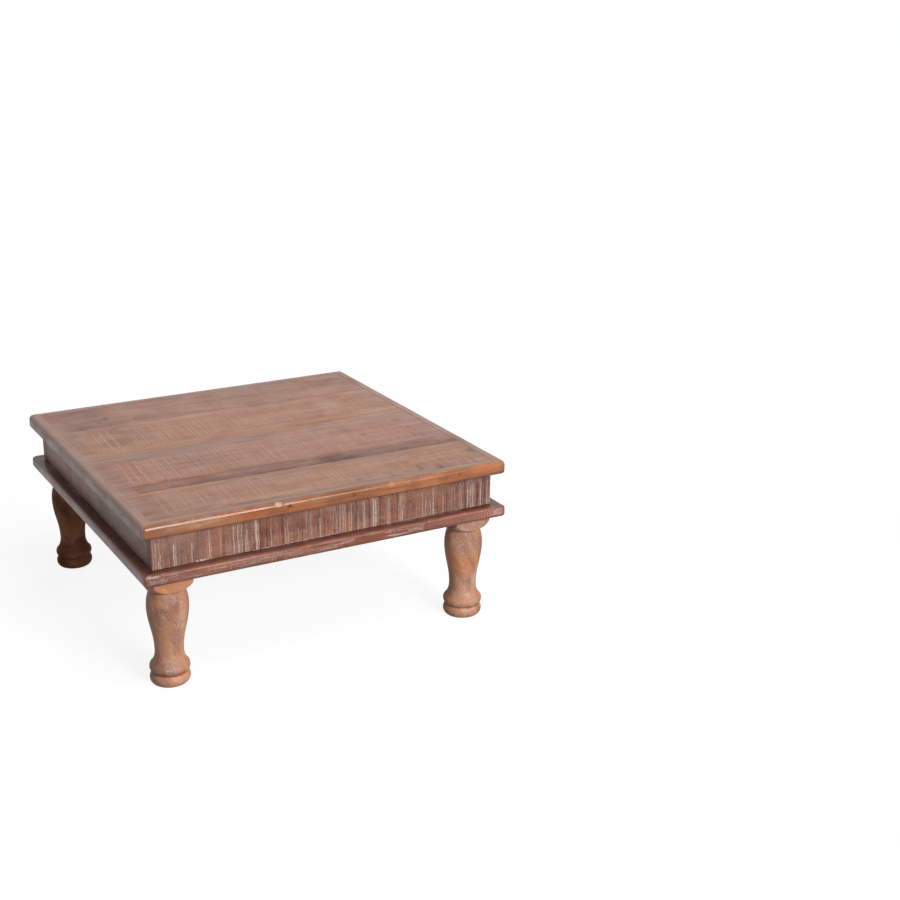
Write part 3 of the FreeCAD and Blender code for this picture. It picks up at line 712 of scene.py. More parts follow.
# Limewash lines: place along the board, half width, height where the line ends and strength
APRON_WASH = {
    "front": (
        (-186.4, 0.6, 27, 0.45), (-183.4, 0.5, 26, 0.55), (-181, 0.6, 13, 0.95), (-179.4, 0.6, 17, 0.9),
        (-176.8, 0.45, 14, 0.5), (-170.5, 0.4, 12, 0.4), (-165.6, 1.1, 25, 0.9), (-163.6, 0.6, 22, 0.8),
        (-154, 0.5, 12, 0.5), (-147.4, 0.6, 23, 0.9), (-138, 0.4, 16, 0.4), (-131.6, 0.45, 24, 0.5),
        (-129.6, 0.6, 31, 0.9), (-128.2, 0.45, 28, 0.7), (-118.2, 0.5, 31, 0.6), (-112.5, 0.4, 16, 0.5),
        (-108.5, 0.4, 22, 0.4), (-104.6, 0.7, 31, 0.95), (-100, 0.6, 31, 0.9), (-97.6, 0.45, 22, 0.6),
        (-95.8, 0.6, 31, 0.85), (-93, 0.4, 20, 0.45), (-90, 0.45, 24, 0.55), (-80.7, 1.1, 32, 1),
        (-78.4, 0.6, 28, 0.85), (-65, 0.5, 23, 0.7), (-54, 0.4, 12, 0.4), (-49.8, 0.6, 22, 0.6),
        (-47, 0.6, 24, 0.6), (-36, 0.45, 16, 0.45), (-30, 0.4, 12, 0.4), (-24, 0.6, 25, 0.55),
        (-22.2, 0.5, 28, 0.75), (-16, 0.4, 14, 0.4), (-12.2, 0.55, 22, 0.95), (1.2, 0.45, 20, 0.55),
        (10.6, 0.8, 31, 0.55), (13.3, 0.5, 31, 0.75), (15.6, 0.55, 30, 0.85), (23, 0.5, 30, 0.85),
        (30.4, 0.5, 23, 0.75), (32.2, 0.4, 16, 0.5), (36.2, 0.5, 31, 0.8), (38.1, 0.55, 30, 0.85),
        (45.6, 0.4, 20, 0.4), (48.4, 0.8, 31, 0.95), (50.9, 0.75, 31, 1), (66, 0.5, 29, 0.8),
        (77.4, 0.7, 24, 0.5), (79.8, 0.7, 28, 0.6), (82, 0.6, 19, 0.95), (91.5, 0.4, 20, 0.4),
        (98.6, 0.4, 20, 0.4), (105.3, 0.5, 29, 0.75), (108.8, 0.4, 18, 0.45), (113, 0.4, 20, 0.45),
        (118, 0.6, 32, 1), (130, 0.5, 22, 0.7), (140.4, 0.7, 28, 0.5), (143.4, 0.6, 28, 0.55),
        (150.4, 0.6, 31, 0.5), (152.6, 0.5, 28, 0.5), (159.6, 0.5, 30, 0.6), (163.4, 0.9, 28, 0.6),
        (166.4, 0.7, 28, 0.65), (175.9, 0.65, 31, 0.95), (179, 0.45, 26, 0.5), (184, 0.7, 30, 0.55),
        (187, 0.6, 30, 0.6),
    ),
    "left": (),
    "back": swung_wash(-180, 9.4, 39, 0.65, (5, 3, 7, 4)),
    "right": swung_wash(-176, 10.6, 34, 0.55, (3, 5, 4, 7)),
}
APRON_PATCHES = {
    "front": (
        (-188, -110, -2, 36, 8, -0.2, 0.1, 0.1), (-188, -150, 26, 33, 4, -0.05, 0.05, 0.1),
        (-178, -160, 4, 24, 4, 0.28, -0.2), (-158, -152, 6, 26, 2, 0.3, -0.2),
        (-76, -64, 2, 30, 4, 0, 0.3), (-40, 0, 22, 33, 4, -0.1, 0.15, 0.08),
        (-39, -36.5, 4, 24, 0.8, 0.4, -0.3), (-30, -18, 8, 22, 5, 0.12, -0.3, 0.04),
        (-10, 25, 2, 12, 5, 0, 0.45), (20, 50, 6, 26, 6, 0.15, -0.3, 0.04), (55, 65, 0, 33, 3, 0, 0.3),
        (83, 103, 19, 31, 4, 0, 0.28, 0.04), (118, 140, 17, 33, 5, -0.05, 0.28, 0.04),
        (120, 136, 2, 14, 4, 0.2, 0.1), (140, 158, 0, 30, 5, 0.18, -0.3, 0.03),
        (170.5, 174.5, 2, 28, 0.8, 0.4, -0.2), (110, 190, 0, 33, 12, 0.16, -0.1),
    ),
    # On the left side the pale, cool patches are dust and painted sheen together
    "left": ((-180, 0, 4, 34, 8, 0, -0.25, 0.38), (0, 188, 6, 34, 8, 0.03, -0.2, 0.3)),
    "back": ((-120, -40, 2, 30, 8, 0, 0.3), (30, 120, 4, 26, 8, 0.2, -0.25)),
    "right": ((-150, -60, 2, 30, 8, 0.1, -0.25, 0.05), (20, 130, 4, 26, 8, 0, 0.25)),
}


def wash_lines(along, rise_up, rows):
    """Pale upright lines, each a bell curve across, that end at their own height. Noise bends them."""
    total = np.zeros(along.shape)
    bent = along + 0.7 * (noise(rise_up / 9, along / 40, 5) - 0.5)
    for place, half_width, stop, strength in rows:
        line = strength * bell(bent - place, 0.85 * half_width) * (1 - rise(rise_up, stop - 2.5, stop + 1.5))
        total = np.maximum(total, line)
    return total


def apron_marks(wood, axis):
    """Bold and fine upright saw lines, and thin scratches that lean across them."""
    bold, fine, leaning = (wood.lines(axis, **kind) for kind in (APRON_BOLD, APRON_FINE, APRON_SCRATCH))
    upright = wood.math("MAXIMUM", bold, wood.product(fine, 0.85))
    return wood.math("MAXIMUM", upright, wood.product(leaning, 0.75))


def apron_grooves(side, along, up, seed):
    """How deep the saw bit: each group of grooves starts at the lower edge and fades at its own height."""
    grooved = np.zeros(along.shape)
    for number, (start, stop, amount) in enumerate(APRON_GROUPS[side]):
        reach = 0.75 + 0.5 * math.sin(number * 2.4)
        sway = 1.2 * (noise(up * 1.5, number + 0 * up, seed) - 0.5)
        inside = window(along + sway, start - 0.6, stop + 0.6, 0.7)
        grooved += amount * inside * (1 - 0.65 * rise(up, reach - 0.25, reach + 0.15))
    return grooved


def apron_face(side, along, height, low, high):
    """Relief inward and paint of an outer face. The relief is shallow ridges left by the saw, from noise of
    the place along the board, a slow swell, fine grit and a few raised crumbs."""
    seed = 200 + SIDES.index(side) * 11
    quiet = APRON_QUIET[side]
    above = height - low
    up = above / (high - low)
    grooved = apron_grooves(side, along, up, seed + 12)
    bent = along / 1.9 + 0.6 * noise(up * 2, along / 30, seed + 3)
    ridges = rise(noise(bent, up * 0.4, seed + 2), 0.3, 0.7)
    grit = layered(along / 1.6, height / 2.6, seed + 4, 3)
    low_edge = sum(amount * window(along, start, stop, 2) for start, stop, amount in APRON_FOOT_DUST[side])
    low_edge = low_edge * (1 - rise(above, 0.9, 1.9))
    low_edge = low_edge * (0.35 + 0.65 * blots(along / 6, 0 * up, seed + 5, 0.4, 0.6, 3))
    heap = window(above, -3, 2, 0.8) * rise(grit, 0.4, 0.6)
    crumbs = heap * sum(window(along, start, stop, 3) for start, stop in APRON_CRUMBS[side])
    relief = APRON_GROOVE * ridges * (0.35 + 0.65 * grooved)
    relief += APRON_SWELL * noise(along / 7, up * 0.25, seed + 1) + 0.08 * grit
    relief = relief * (0.4 + 0.6 * quiet) - APRON_CRUMB * crumbs
    wash = wash_lines(along, above, APRON_WASH[side]) * (0.6 + 0.32 * rise(grit, 0.25, 0.55))
    stain, warm, dust = patches(along, above, APRON_PATCHES[side], seed)
    dust += quiet * (0.1 * grooved * rise(grit, 0.35, 0.7) + 0.8 * low_edge * rise(grit, 0.25, 0.5))
    dust = np.maximum(dust, wash) + 0.9 * crumbs
    kerf = blots(along / 2.4, up * 0.5, seed + 6, 0.6, 0.72, 2)
    stain += quiet * (0.55 * kerf + 0.4 * rise(grit, 0.52, 0.75))
    stain += 0.35 * blots(along / 10, height / 12, seed + 8, 0.5, 0.7)
    # Painted shade: a little darker along the top, under the border's overhang
    stain += 0.1 * (1 - rise(high - height, 5, 7.5))
    warm += 0.5 + 0.4 * (noise(along / 18, height / 20, seed + 7) - 0.5)
    marks = APRON_GROUND[side] + 0.55 * grooved * (0.3 + 0.7 * quiet)
    return relief, np.stack([dust, stain, warm, np.clip(marks, 0, 1)], -1)


def make_apron(side, material):
    """An apron board: a rectangle with eased edges carried along its side. Only the outer face has relief,
    which is measured inward from the CAD face."""
    node = "apron_" + side
    low, high = np.array(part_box(node)) / MM
    long_board = side in LONG_SIDES
    half, thick = (high[0], high[1] - low[1]) if long_board else (high[1], high[0] - low[0])
    outer = {"front": -low[1], "back": high[1], "left": -low[0], "right": high[0]}[side]
    across, up = board_loop(46, 3, 6)
    along = half * (2 * spread(int(2 * half / APRON_STEP))[:, None] - 1) + 0 * up
    inward = (1 - up) * thick + 0 * along
    height = low[2] + across * (high[2] - low[2]) + 0 * along
    relief, paint = apron_face(side, along, height, low[2], high[2])
    face = (inward == 0) * 1.0
    edge = np.minimum(height - low[2], high[2] - height)
    end = half - np.abs(along)
    nails = min_distance(along, APRON_NAIL_PLACES) if long_board else np.ones(along.shape) / MM
    quarter = (high[2] - low[2]) / 4
    rows = min_distance(height, (low[2] + quarter, high[2] - quarter))
    dimple = bell(nails, APRON_NAIL_DIMPLE_R) * bell(rows, APRON_NAIL_DIMPLE_R)
    eased = easing(edge, APRON_EDGE_R) + easing(end, APRON_EDGE_R)
    inward += face * (relief + APRON_NAIL_PUNCH * dimple + eased)
    x, y = on_side(side, along, inward, outer, outer)
    paint[..., 1] += 0.8 * dimple
    paint = np.where(face[..., None] > 0, paint, APRON_INNER_PAINT)
    skin(node + "_sawn", np.stack([x, y, height], -1), paint, node, material)


APRON_FINISH = {"marks": apron_marks, "figure": 1.2, "depth": 0.2, "grain": 0.7}
apron_long = stained_wood(
    "sawn_apron_x", APRON_TONES, 0, LIMEWASH, 0.5, 21, shine=0.4, patchy=0.42, **APRON_FINISH
)
apron_side = stained_wood("sawn_apron_y", APRON_TONES, 1, LIMEWASH, 0.42, 22, patchy=0.6, **APRON_FINISH)
for side in SIDES:
    make_apron(side, apron_long if side in LONG_SIDES else apron_side)


# The lower frame: four wide boards laid flat and mitred at the corners. It carries the legs, and its rounded
# nose stands out below the apron as a ledge. Dark red-brown, with worn streaks of limewash on the nose.
FRAME_W = 68
FRAME_UPPER_R = 2.3
FRAME_LOWER_R = 4.5
FRAME_CORNER_R = 3.0
FRAME_STEP = 0.75
FRAME_LIFT = 0.12
FRAME_ARRIS = 2.6
FRAME_RUB = 0.25
FRAME_DENT = 0.2
FRAME_TICKS = {"pitch": 3.3, "width": 0.5, "bend_by": 3, "breaks": 160, "seed": 6}
FRAME_STREAKS = (26, 620)
FRAME_TONES = ((0.2, 0.069, 0.041), (0.295, 0.108, 0.066), (0.38, 0.153, 0.097))
FRAME_FOOT = (-202, 202, 10.3, 13, 0.9, 0.45, -0.1)
FRAME_PATCHES = {
    "front": (
        (-199, -186, 0.4, 2.4, 0.8, 0, 0, 0.5), (-200, -80, 1, 14, 4, 0.22, -0.15, 0.04),
        (-184, -172, 3, 8, 2.5, 0.1, 0.45), (-196, -176, 5, 8.5, 1.5, 0, -0.1, 0.3),
        (-160, -90, 2, 9, 4, 0.1, 0.1, 0.05), (-90, 0, 3.5, 8, 2, 0, -0.1, 0.12),
        (-40, 10, 2, 8, 4, 0, 0.3), (82, 100, 4, 7, 1.6, 0, 0, 0.4),
        (100, 180, 2, 10, 4, 0.1, -0.15, 0.06), (184, 196, 2, 7, 2, 0, 0, 0.45), FRAME_FOOT,
    ),
    "left": (
        (-71, -65, 4, 8.5, 1.4, 0.95, -0.2), (-190, -100, 2, 9, 4, 0.05, -0.3, 0.12),
        (-40, 190, 2, 9, 4, 0.05, -0.35, 0.1), FRAME_FOOT,
    ),
    "back": ((-120, 60, 3, 8, 3, 0, 0, 0.25), FRAME_FOOT),
    "right": ((-100, 120, 3, 9, 3, 0, 0, 0.2), FRAME_FOOT),
}
# Places with limewash marks: two limits along, two down the nose, and how many marks
FRAME_MARKS = {
    "front": ((-176, -76, 2, 9, 0.55), (-112, 20, 3, 9, 0.6), (56, 102, 2, 9, 0.9), (168, 196, 2, 9, 0.7)),
    "left": ((-150, -90, 2, 9, 0.25), (10, 90, 2, 9, 0.2)),
    "back": ((-140, -20, 2, 9, 0.6), (40, 170, 2, 9, 0.5)),
    "right": ((-120, 10, 2, 9, 0.6), (70, 150, 2, 9, 0.5)),
}
# Painted shade on the ledge under the apron, darkest on the left side
LEDGE_SHADE = {"front": 0.85, "right": 0.7, "back": 0.7, "left": 0.95}
LEDGE_CRUMBS = {
    "front": ((-60, -20, 0.5), (60, 150, 0.4)),
    "left": ((132, 158, 0.9), (42, 88, 0.8), (-120, -100, 0.5)),
    "back": ((-30, 60, 0.6),),
    "right": ((-80, -20, 0.6),),
}
frame_low, frame_high = np.array(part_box("lower_frame_front")) / MM
FRAME_T = frame_high[2] - frame_low[2]


def frame_marks(wood, axis):
    """Limewash left as long soft streaks along the grain, and as short upright ticks across it."""
    streaks = wood.span(wood.grain(*FRAME_STREAKS, axis, 4, 0.4, (3.1, 1.7, 2.3)), 0.5, 0.66)
    return wood.product(wood.math("MAXIMUM", streaks, wood.lines(axis, **FRAME_TICKS)), 0.8)


def frame_wear(side, along, inward, height, mitre):
    """Nose rubbed and dented by noise along it. Patches and marks lie on the face, dust has gathered on the
    ledge against the apron, and the ledge is painted darker than the face, as painted shade under the apron."""
    seed = 300 + SIDES.index(side) * 13
    depth = frame_high[2] - height
    on_nose = 1 - rise(inward, 4, 8)
    upper = depth < 1
    arris = bell(inward, FRAME_ARRIS) * bell(depth, FRAME_ARRIS)
    rubbed = layered(along / 20, depth / 7, seed)
    dents = blots(along / 5, depth / 4, seed + 1, 0.62, 0.8, 3)
    push = on_nose * (FRAME_RUB * rubbed + FRAME_DENT * dents)
    sink = (0.15 * arris + 0.08 * upper * (1 - on_nose)) * rubbed - FRAME_LIFT * (depth > FRAME_T - 0.01)
    stain, warm, dust = patches(along, depth, FRAME_PATCHES[side], seed) * on_nose
    marks = np.zeros(along.shape)
    for a0, a1, d0, d1, amount in FRAME_MARKS[side]:
        marks += amount * on_nose * window(along, a0, a1, 2.5) * window(depth, d0, d1, 2.5)
    crumbled = blots(along / 2.4, inward / 1.2, seed + 8, 0.45, 0.65, 2)
    crumbled = crumbled * window(inward, 10, 12.6, 0.5) * upper
    for start, stop, amount in LEDGE_CRUMBS[side]:
        dust += amount * crumbled * window(along, start, stop, 4)
    ledge = rise(inward, 3, 6) * upper
    # Painted shade darkens the ledge, and the rubbed places on the nose take stain
    stain += LEDGE_SHADE[side] * ledge + 0.3 * rise(rubbed, 0.45, 0.7) * on_nose
    stain += 0.5 * bell(mitre, 0.6) * upper
    warm += 0.5 + 0.3 * (layered(along / 30, depth / 5, seed + 9) - 0.5)
    dust += 0.2 * arris * dents * (1 - ledge)
    return push, sink, np.stack([dust, stain, warm, marks], -1)


FRAME_FINISH = {"marks": frame_marks, "figure": 1.3, "patchy": 0.6}
frame_long = stained_wood("waxed_frame_x", FRAME_TONES, 0, LIMEWASH, 0.34, 31, shine=0.45, **FRAME_FINISH)
frame_side = stained_wood("waxed_frame_y", FRAME_TONES, 1, LIMEWASH, 0.34, 32, **FRAME_FINISH)
frame_half = (-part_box("lower_frame_left")[0].x / MM, -frame_low[1])
frame_loop = strip_loop(FRAME_W, frame_low[2], frame_high[2], FRAME_UPPER_R, FRAME_LOWER_R, 13)
for side in SIDES:
    wood = frame_long if side in LONG_SIDES else frame_side
    node = "lower_frame_" + side
    make_strip(
        node, side, frame_half, frame_loop, FRAME_CORNER_R, FRAME_STEP, frame_wear, wood
    )


# The legs: four turned from square blanks, each with a foot pad, a ring, a waist and a vase. The blank keeps
# its flat sides at the head under the lower frame, where the turning ends in a round shoulder, and a tenon
# goes up through the frame. Turned by hand, so no two are quite alike; the rings are rubbed paler.
LEG_AROUND = 128
LEG_GIRTH = 18
LEG_HALF_BLANK = 20.8
LEG_RADII = {
    "foot": 20.3, "groove": 17.2, "ring": 20.3, "waist": 14.4, "bulge": 20.7, "neck": 17.6, "lip": 18.4,
    "head": 28.8, "tenon": 12.0,
}
LEG_HEIGHTS = {
    "foot": 11.2, "groove": 12.7, "ring": 20.6, "waist": 35.0, "bulge": 83.0, "neck": 100.6, "lip": 101.4,
    "head": 112.0, "seat": frame_low[2],
}
FOOT_RIMS = (0.857, 0.897)
RING_RIMS = (0.916, 0.956)
LEG_FINE_REACH = 24
LEG_STEPS = {"below": 260, "head": 90, "tenon": 30}
LEG_RELIEF = {"oval": 0.12, "dents": 0.45, "gouge": 0.06, "pocks": 0.2, "scratches": 0.06}
LEG_TONES = ((0.42, 0.19, 0.104), (0.53, 0.257, 0.146), (0.62, 0.324, 0.194))
FLECK_AND_SHEEN = (0.7, 0.54, 0.46)
# Limits in degrees round the leg from the right, and in height
LEG_PATCHES = {
    # On the front left leg, the pale rows towards the front on the upper shoulder and on the ring are painted
    # sheen and a painted highlight
    "leg_front_left": (
        (-152, -122, 86, 98, 4, -0.05, 0.3), (-128, -86, 86, 98, 4, 0, -0.1, 0.2),
        (-168, -122, 64, 86, 5, 0.4, -0.15), (-107, -76, 76, 90, 4, 0.14, 0.05, 0.04),
        (-90, -60, 58, 78, 4, 0, -0.15, 0.16), (-114, -88, 57, 72, 4, -0.1, 0.4),
        (-160, -60, 34, 58, 6, -0.04, 0, 0.12), (-110, -70, 22, 30, 3, 0.1, -0.3, 0.1),
        (-180, -60, 12.5, 25, 2.5, 0.2, -0.15, 0.06), (-180, -60, 12.5, 16, 1, 0.35, 0.1),
        (-180, -60, 80, 99, 5, 0.2, -0.1, 0.04), (-120, -92, 17, 20, 1.6, 0, -0.2, 0.35),
        (-150, -60, 9.4, 11.4, 0.8, -0.1, 0.35, 0.15), (-150, -60, 0, 2, 1, 0, 0.35),
    ),
    # On the front right leg, the pale rows towards the front on the upper vase and low on the ring are
    # painted sheen as well as dust
    "leg_front_right": (
        (-125, -60, 78, 97, 5, 0.06, -0.15, 0.14), (-160, -60, 52, 76, 6, -0.05, 0.25),
        (-150, -60, 26, 46, 5, 0, -0.25, 0.2), (-150, -60, 0, 22, 3, 0.14, -0.1, 0.14),
        (-180, 0, 102, 118, 2, 0.28, -0.35, 0.3), (-130, -60, 113, 116.6, 1.2, 0.6),
        (-150, -60, 9.4, 11.4, 0.8, -0.1, 0.35, 0.1),
    ),
    # The back left leg is painted darker all over and darkest at the foot, with no dust: painted shade under
    # the table
    "leg_back_left": ((-190, 190, -20, 125, 8, 0.48, 0.1, -0.15), (-190, 190, -20, 30, 6, 0.9, -0.3, -1)),
    "leg_back_right": ((40, 110, 60, 95, 6, 0.1, 0.2, 0.05), (120, 190, 20, 60, 6, 0.2, -0.1)),
}


def arc_through(a, b, c, count):
    """Circular arc through three points: its centre is where the perpendicular bisectors meet."""
    (ax, ay), (bx, by), (cx, cy) = a, b, c
    d = 2 * (ax * (by - cy) + bx * (cy - ay) + cx * (ay - by))
    squares = ax * ax + ay * ay, bx * bx + by * by, cx * cx + cy * cy
    ux = (squares[0] * (by - cy) + squares[1] * (cy - ay) + squares[2] * (ay - by)) / d
    uy = (squares[0] * (cx - bx) + squares[1] * (ax - cx) + squares[2] * (bx - ax)) / d
    angles = np.unwrap([math.atan2(y - uy, x - ux) for x, y in (a, b, c)])
    t = np.linspace(angles[0], angles[2], count)
    radius = math.hypot(ax - ux, ay - uy)
    return np.stack([ux + radius * np.cos(t), uy + radius * np.sin(t)], 1)


def bezier(a, b, c, d, count):
    """Cubic curve with two end points and two handles."""
    t = np.linspace(0, 1, count)[:, None]
    a, b, c, d = map(np.array, (a, b, c, d))
    return (1 - t) ** 3 * a + 3 * (1 - t) ** 2 * t * b + 3 * (1 - t) * t**2 * c + t**3 * d


def leg_profile():
    """Radius and height from the rim of the foot up to the top of the tenon, at even steps of length, twice
    as close from the neck up."""
    r, h = LEG_RADII, LEG_HEIGHTS
    swell = h["bulge"] - h["waist"]
    shoulder = h["neck"] - h["bulge"]
    flare = h["waist"] - h["ring"]
    foot_low, foot_top = (share * r["foot"] for share in FOOT_RIMS)
    ring_low, ring_top = (share * r["ring"] for share in RING_RIMS)
    waist, bulge = (r["waist"], h["waist"]), (r["bulge"], h["bulge"])
    flare_in = (ring_top - 0.6 * (ring_top - r["waist"]), h["ring"] + 0.21 * flare)
    flare_out = (r["waist"], h["waist"] - 0.49 * flare)
    swell_in = (r["waist"], h["waist"] + 0.4 * swell)
    swell_out = (r["bulge"], h["bulge"] - 0.4 * swell)
    shoulder_in = (r["bulge"], h["bulge"] + 0.455 * shoulder)
    shoulder_out = (r["neck"] + 0.32 * (r["bulge"] - r["neck"]), h["neck"] - 0.233 * shoulder)
    head_middle = (r["lip"] + 0.667 * (r["head"] - r["lip"]), h["lip"] + 0.377 * (h["head"] - h["lip"]))
    ring_middle = (r["ring"], (h["groove"] + h["ring"]) / 2)
    parts = [
        arc_through((foot_low, 0), (r["foot"], h["foot"] / 2), (foot_top, h["foot"]), 40),
        np.array([(r["groove"], (h["foot"] + h["groove"]) / 2)]),
        arc_through((ring_low, h["groove"]), ring_middle, (ring_top, h["ring"]), 30),
        bezier((ring_top, h["ring"]), flare_in, flare_out, waist, 40),
        bezier(waist, swell_in, swell_out, bulge, 60),
        bezier(bulge, shoulder_in, shoulder_out, (r["neck"], h["neck"]), 40),
        arc_through((r["lip"], h["lip"]), head_middle, (r["head"], h["head"]), 40),
        np.array([(r["head"], h["seat"]), (r["tenon"], h["seat"]), (r["tenon"], frame_high[2])]),
    ]
    points = np.vstack(parts)
    gaps = np.hypot(*np.diff(points, axis=0).T)
    points = points[np.concatenate([[True], gaps > 1e-4])]
    length = np.concatenate([[0], np.cumsum(np.hypot(*np.diff(points, axis=0).T))])
    neck = np.interp(h["neck"], points[:, 1], length)
    stops = (0, neck, neck + LEG_FINE_REACH, length[-1])
    even = [np.linspace(*reach) for reach in zip(stops, stops[1:], LEG_STEPS.values())]
    even = np.unique(np.concatenate([*even, length]))
    return np.interp(even, length, points[:, 0]), np.interp(even, length, points[:, 1])


def make_leg(node, seed, lean, plump, material):
    """A turned leg: the profile carried round its axis, and cut to the sides of the square blank, so that the
    radius is at most half / max(|cos|, |sin|). The radius changes by slow dents, by fine rings left by the
    gouge and by oval error, and each leg is stouter by its own shares at the vase and at the foot. The foot
    stands a little aside from the top, as a hand-set leg does."""
    low, high = np.array(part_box(node)) / MM
    centre = (low + high) / 2
    radius, height = leg_profile()
    angle = np.linspace(-np.pi, np.pi, LEG_AROUND, endpoint=False)
    r, a = np.meshgrid(radius, angle, indexing="ij")
    h = height[:, None] + 0 * a
    cos, sin = np.cos(a), np.sin(a)
    level = LEG_HEIGHTS

    def wrapped(cell_round, cell_up, number, octaves=4):
        """Noise that closes round the leg: the mean of two fields taken on the circle's two coordinates."""
        x, y, z = cos * LEG_GIRTH / cell_round, sin * LEG_GIRTH / cell_round, h / cell_up
        return (layered(x + z, y, number, octaves) + layered(y - z, x, number + 3, octaves)) / 2

    shown = 1 - rise(h, level["seat"] - 1.5, level["seat"])
    turned = 1 - rise(h, level["neck"], level["lip"])
    dents = wrapped(16, 24, seed)
    gouge = noise(h / 0.9, 0 * h, seed + 1) - 0.5
    pocks = rise(wrapped(3, 4, seed + 2, 3), 0.62, 0.72)
    scratches = rise(wrapped(1.6, 9, seed + 11, 3), 0.6, 0.7)
    depth = LEG_RELIEF
    change = depth["oval"] * np.cos(2 * a + seed) - depth["dents"] * (dents - 0.35) + depth["gouge"] * gouge
    change = change - depth["pocks"] * pocks - depth["scratches"] * scratches
    foot_share = 1 - rise(h, level["ring"], level["bulge"])
    r = r * (1 + turned * (plump[0] + (plump[1] - plump[0]) * foot_share)) + shown * turned * change
    side = LEG_HALF_BLANK / np.maximum(np.abs(cos), np.abs(sin)) - 0.2 * dents
    over = r - side
    flat = rise(over, -0.15, 0.25) * (h > level["neck"]) * (h < level["seat"] + 0.001)
    r = np.minimum(r, side)
    aside = np.clip(1 - h / level["seat"], 0, 1)
    x = centre[0] + r * cos + aside * lean[0]
    y = centre[1] + r * sin + aside * lean[1]
    foot_rim = bell(h - level["foot"] + 0.5, 0.8)
    lip_rim = bell(h - level["lip"] - 0.2, 0.5)
    # Painted shade in the groove above the foot and at the neck
    crease_shade = bell(h - (level["foot"] + level["groove"]) / 2, 0.6) + 0.8 * bell(h - level["neck"], 0.7)
    arris = bell(over, 0.5) * (h > level["lip"]) * (h < level["seat"])
    blotches = wrapped(13, 26, seed + 5)
    flecks = rise(wrapped(1.2, 1.5, seed + 7, 2), 0.66, 0.76)
    haze = rise(wrapped(9, 12, seed + 8), 0.46, 0.7)
    stain, warm, dust = patches(np.degrees(a), h, LEG_PATCHES[node], seed)
    dust += 0.55 * flecks * (0.4 + haze) + 0.3 * scratches * haze + 0.3 * haze
    dust += 0.2 * foot_rim * (0.4 + dents) + 0.2 * lip_rim + 0.12 * arris
    stain += 0.38 * rise(blotches, 0.48, 0.64) * (1 - flat) + 0.8 * crease_shade + 0.2 * pocks
    warm += 0.6 - 1.2 * (blotches - 0.45) + 0.2 * flat + 0.3 * foot_rim
    paint = np.stack([dust * shown, stain, warm, 0 * dust], -1)
    skin(node + "_turned", np.stack([x, y, h], -1), paint, node, material)


LEG_FINISH = {"figure": 0.8, "depth": 0.08, "grain": 0.4, "patchy": 0.85}
leg_wood = stained_wood("turned_leg", LEG_TONES, 2, FLECK_AND_SHEEN, 0.48, 41, shine=0.4, **LEG_FINISH)
# Duller, rougher copy of the leg wood for the back left leg under the table, so that it renders darker:
# painted shade
shaded_leg_wood = stained_wood("shaded_leg", LEG_TONES, 2, FLECK_AND_SHEEN, 0.62, 41, shine=0.08, **LEG_FINISH)
for node, seed, lean, plump, wood in (
    ("leg_front_left", 3, (-1.8, 0.2), (0.02, 0.0), leg_wood),
    ("leg_front_right", 11, (-0.9, -0.2), (0.0, 0.04), leg_wood),
    ("leg_back_left", 23, (0.2, 0.5), (0.0, 0.0), shaded_leg_wood),
    ("leg_back_right", 37, (-0.3, 0.4), (0.01, 0.01), leg_wood),
):
    make_leg(node, seed, lean, plump, wood)


# The inner wood: battens under the planks, blocks in the corners of the apron and wedges in the tenons. They
# are plain sawn softwood, never stained, grey with dust, and show only from below.
INNER_TONES = ((0.4, 0.24, 0.13), (0.52, 0.34, 0.2), (0.62, 0.44, 0.28))


def dress(nodes, material):
    """Give carried-over solids their material."""
    for node in nodes:
        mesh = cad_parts[node].data
        mesh.materials.clear()
        mesh.materials.append(material)


INNER_FINISH = {"figure": 1.2, "depth": 0.4}
batten_wood = stained_wood("sawn_batten", INNER_TONES, 1, LIMEWASH, 0.75, 51, **INNER_FINISH)
block_wood = stained_wood("sawn_block", INNER_TONES, 2, LIMEWASH, 0.75, 52, **INNER_FINISH)
dress(("batten_left", "batten_right"), batten_wood)
dress([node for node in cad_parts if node.startswith("corner_block")], block_wood)
dress(("tenon_wedges",), block_wood)


# The fastenings: dark cut nails and brads, and slotted screws dulled by age. Heads of nails are punched
# below the wood, and the screws' heads are flush, so they show only from below.
NAIL_COLOUR = (0.09, 0.075, 0.07)
NAIL_RUST = (0.2, 0.085, 0.04)
SCREW_COLOUR = (0.42, 0.4, 0.37)
SCREW_RUST = (0.24, 0.14, 0.08)
RUST_CELLS = 420
METAL_CELLS = 2600


def aged_metal(name, colour, rust, metallic, roughness):
    """Dull metal: the colour is mixed towards rust where noise is high, and roughness follows it."""
    metal = Wood(name)
    blotches = metal.grain(RUST_CELLS, RUST_CELLS, 0, 4, 0.4)
    fine = metal.grain(METAL_CELLS, METAL_CELLS, 0, 2)
    body = metal.mix(metal.span(blotches, 0.42, 0.62), (*colour, 1), (*rust, 1))
    metal.put(metal.shader["Base Color"], body)
    metal.put(metal.shader["Metallic"], metallic)
    metal.put(metal.shader["Roughness"], metal.span(blotches, 0.3, 0.7, roughness, roughness + 0.3))
    metal.put(metal.shader["Normal"], metal.bump(fine, 0.1, 0.5))
    return metal.material


nail_iron = aged_metal("nail_iron", NAIL_COLOUR, NAIL_RUST, 0.7, 0.5)
screw_steel = aged_metal("screw_steel", SCREW_COLOUR, SCREW_RUST, 0.85, 0.35)
dress(("border_brads", "apron_nails", "frame_nails"), nail_iron)
dress(("frame_screws", "block_screws", "top_screws", "batten_screws"), screw_steel)


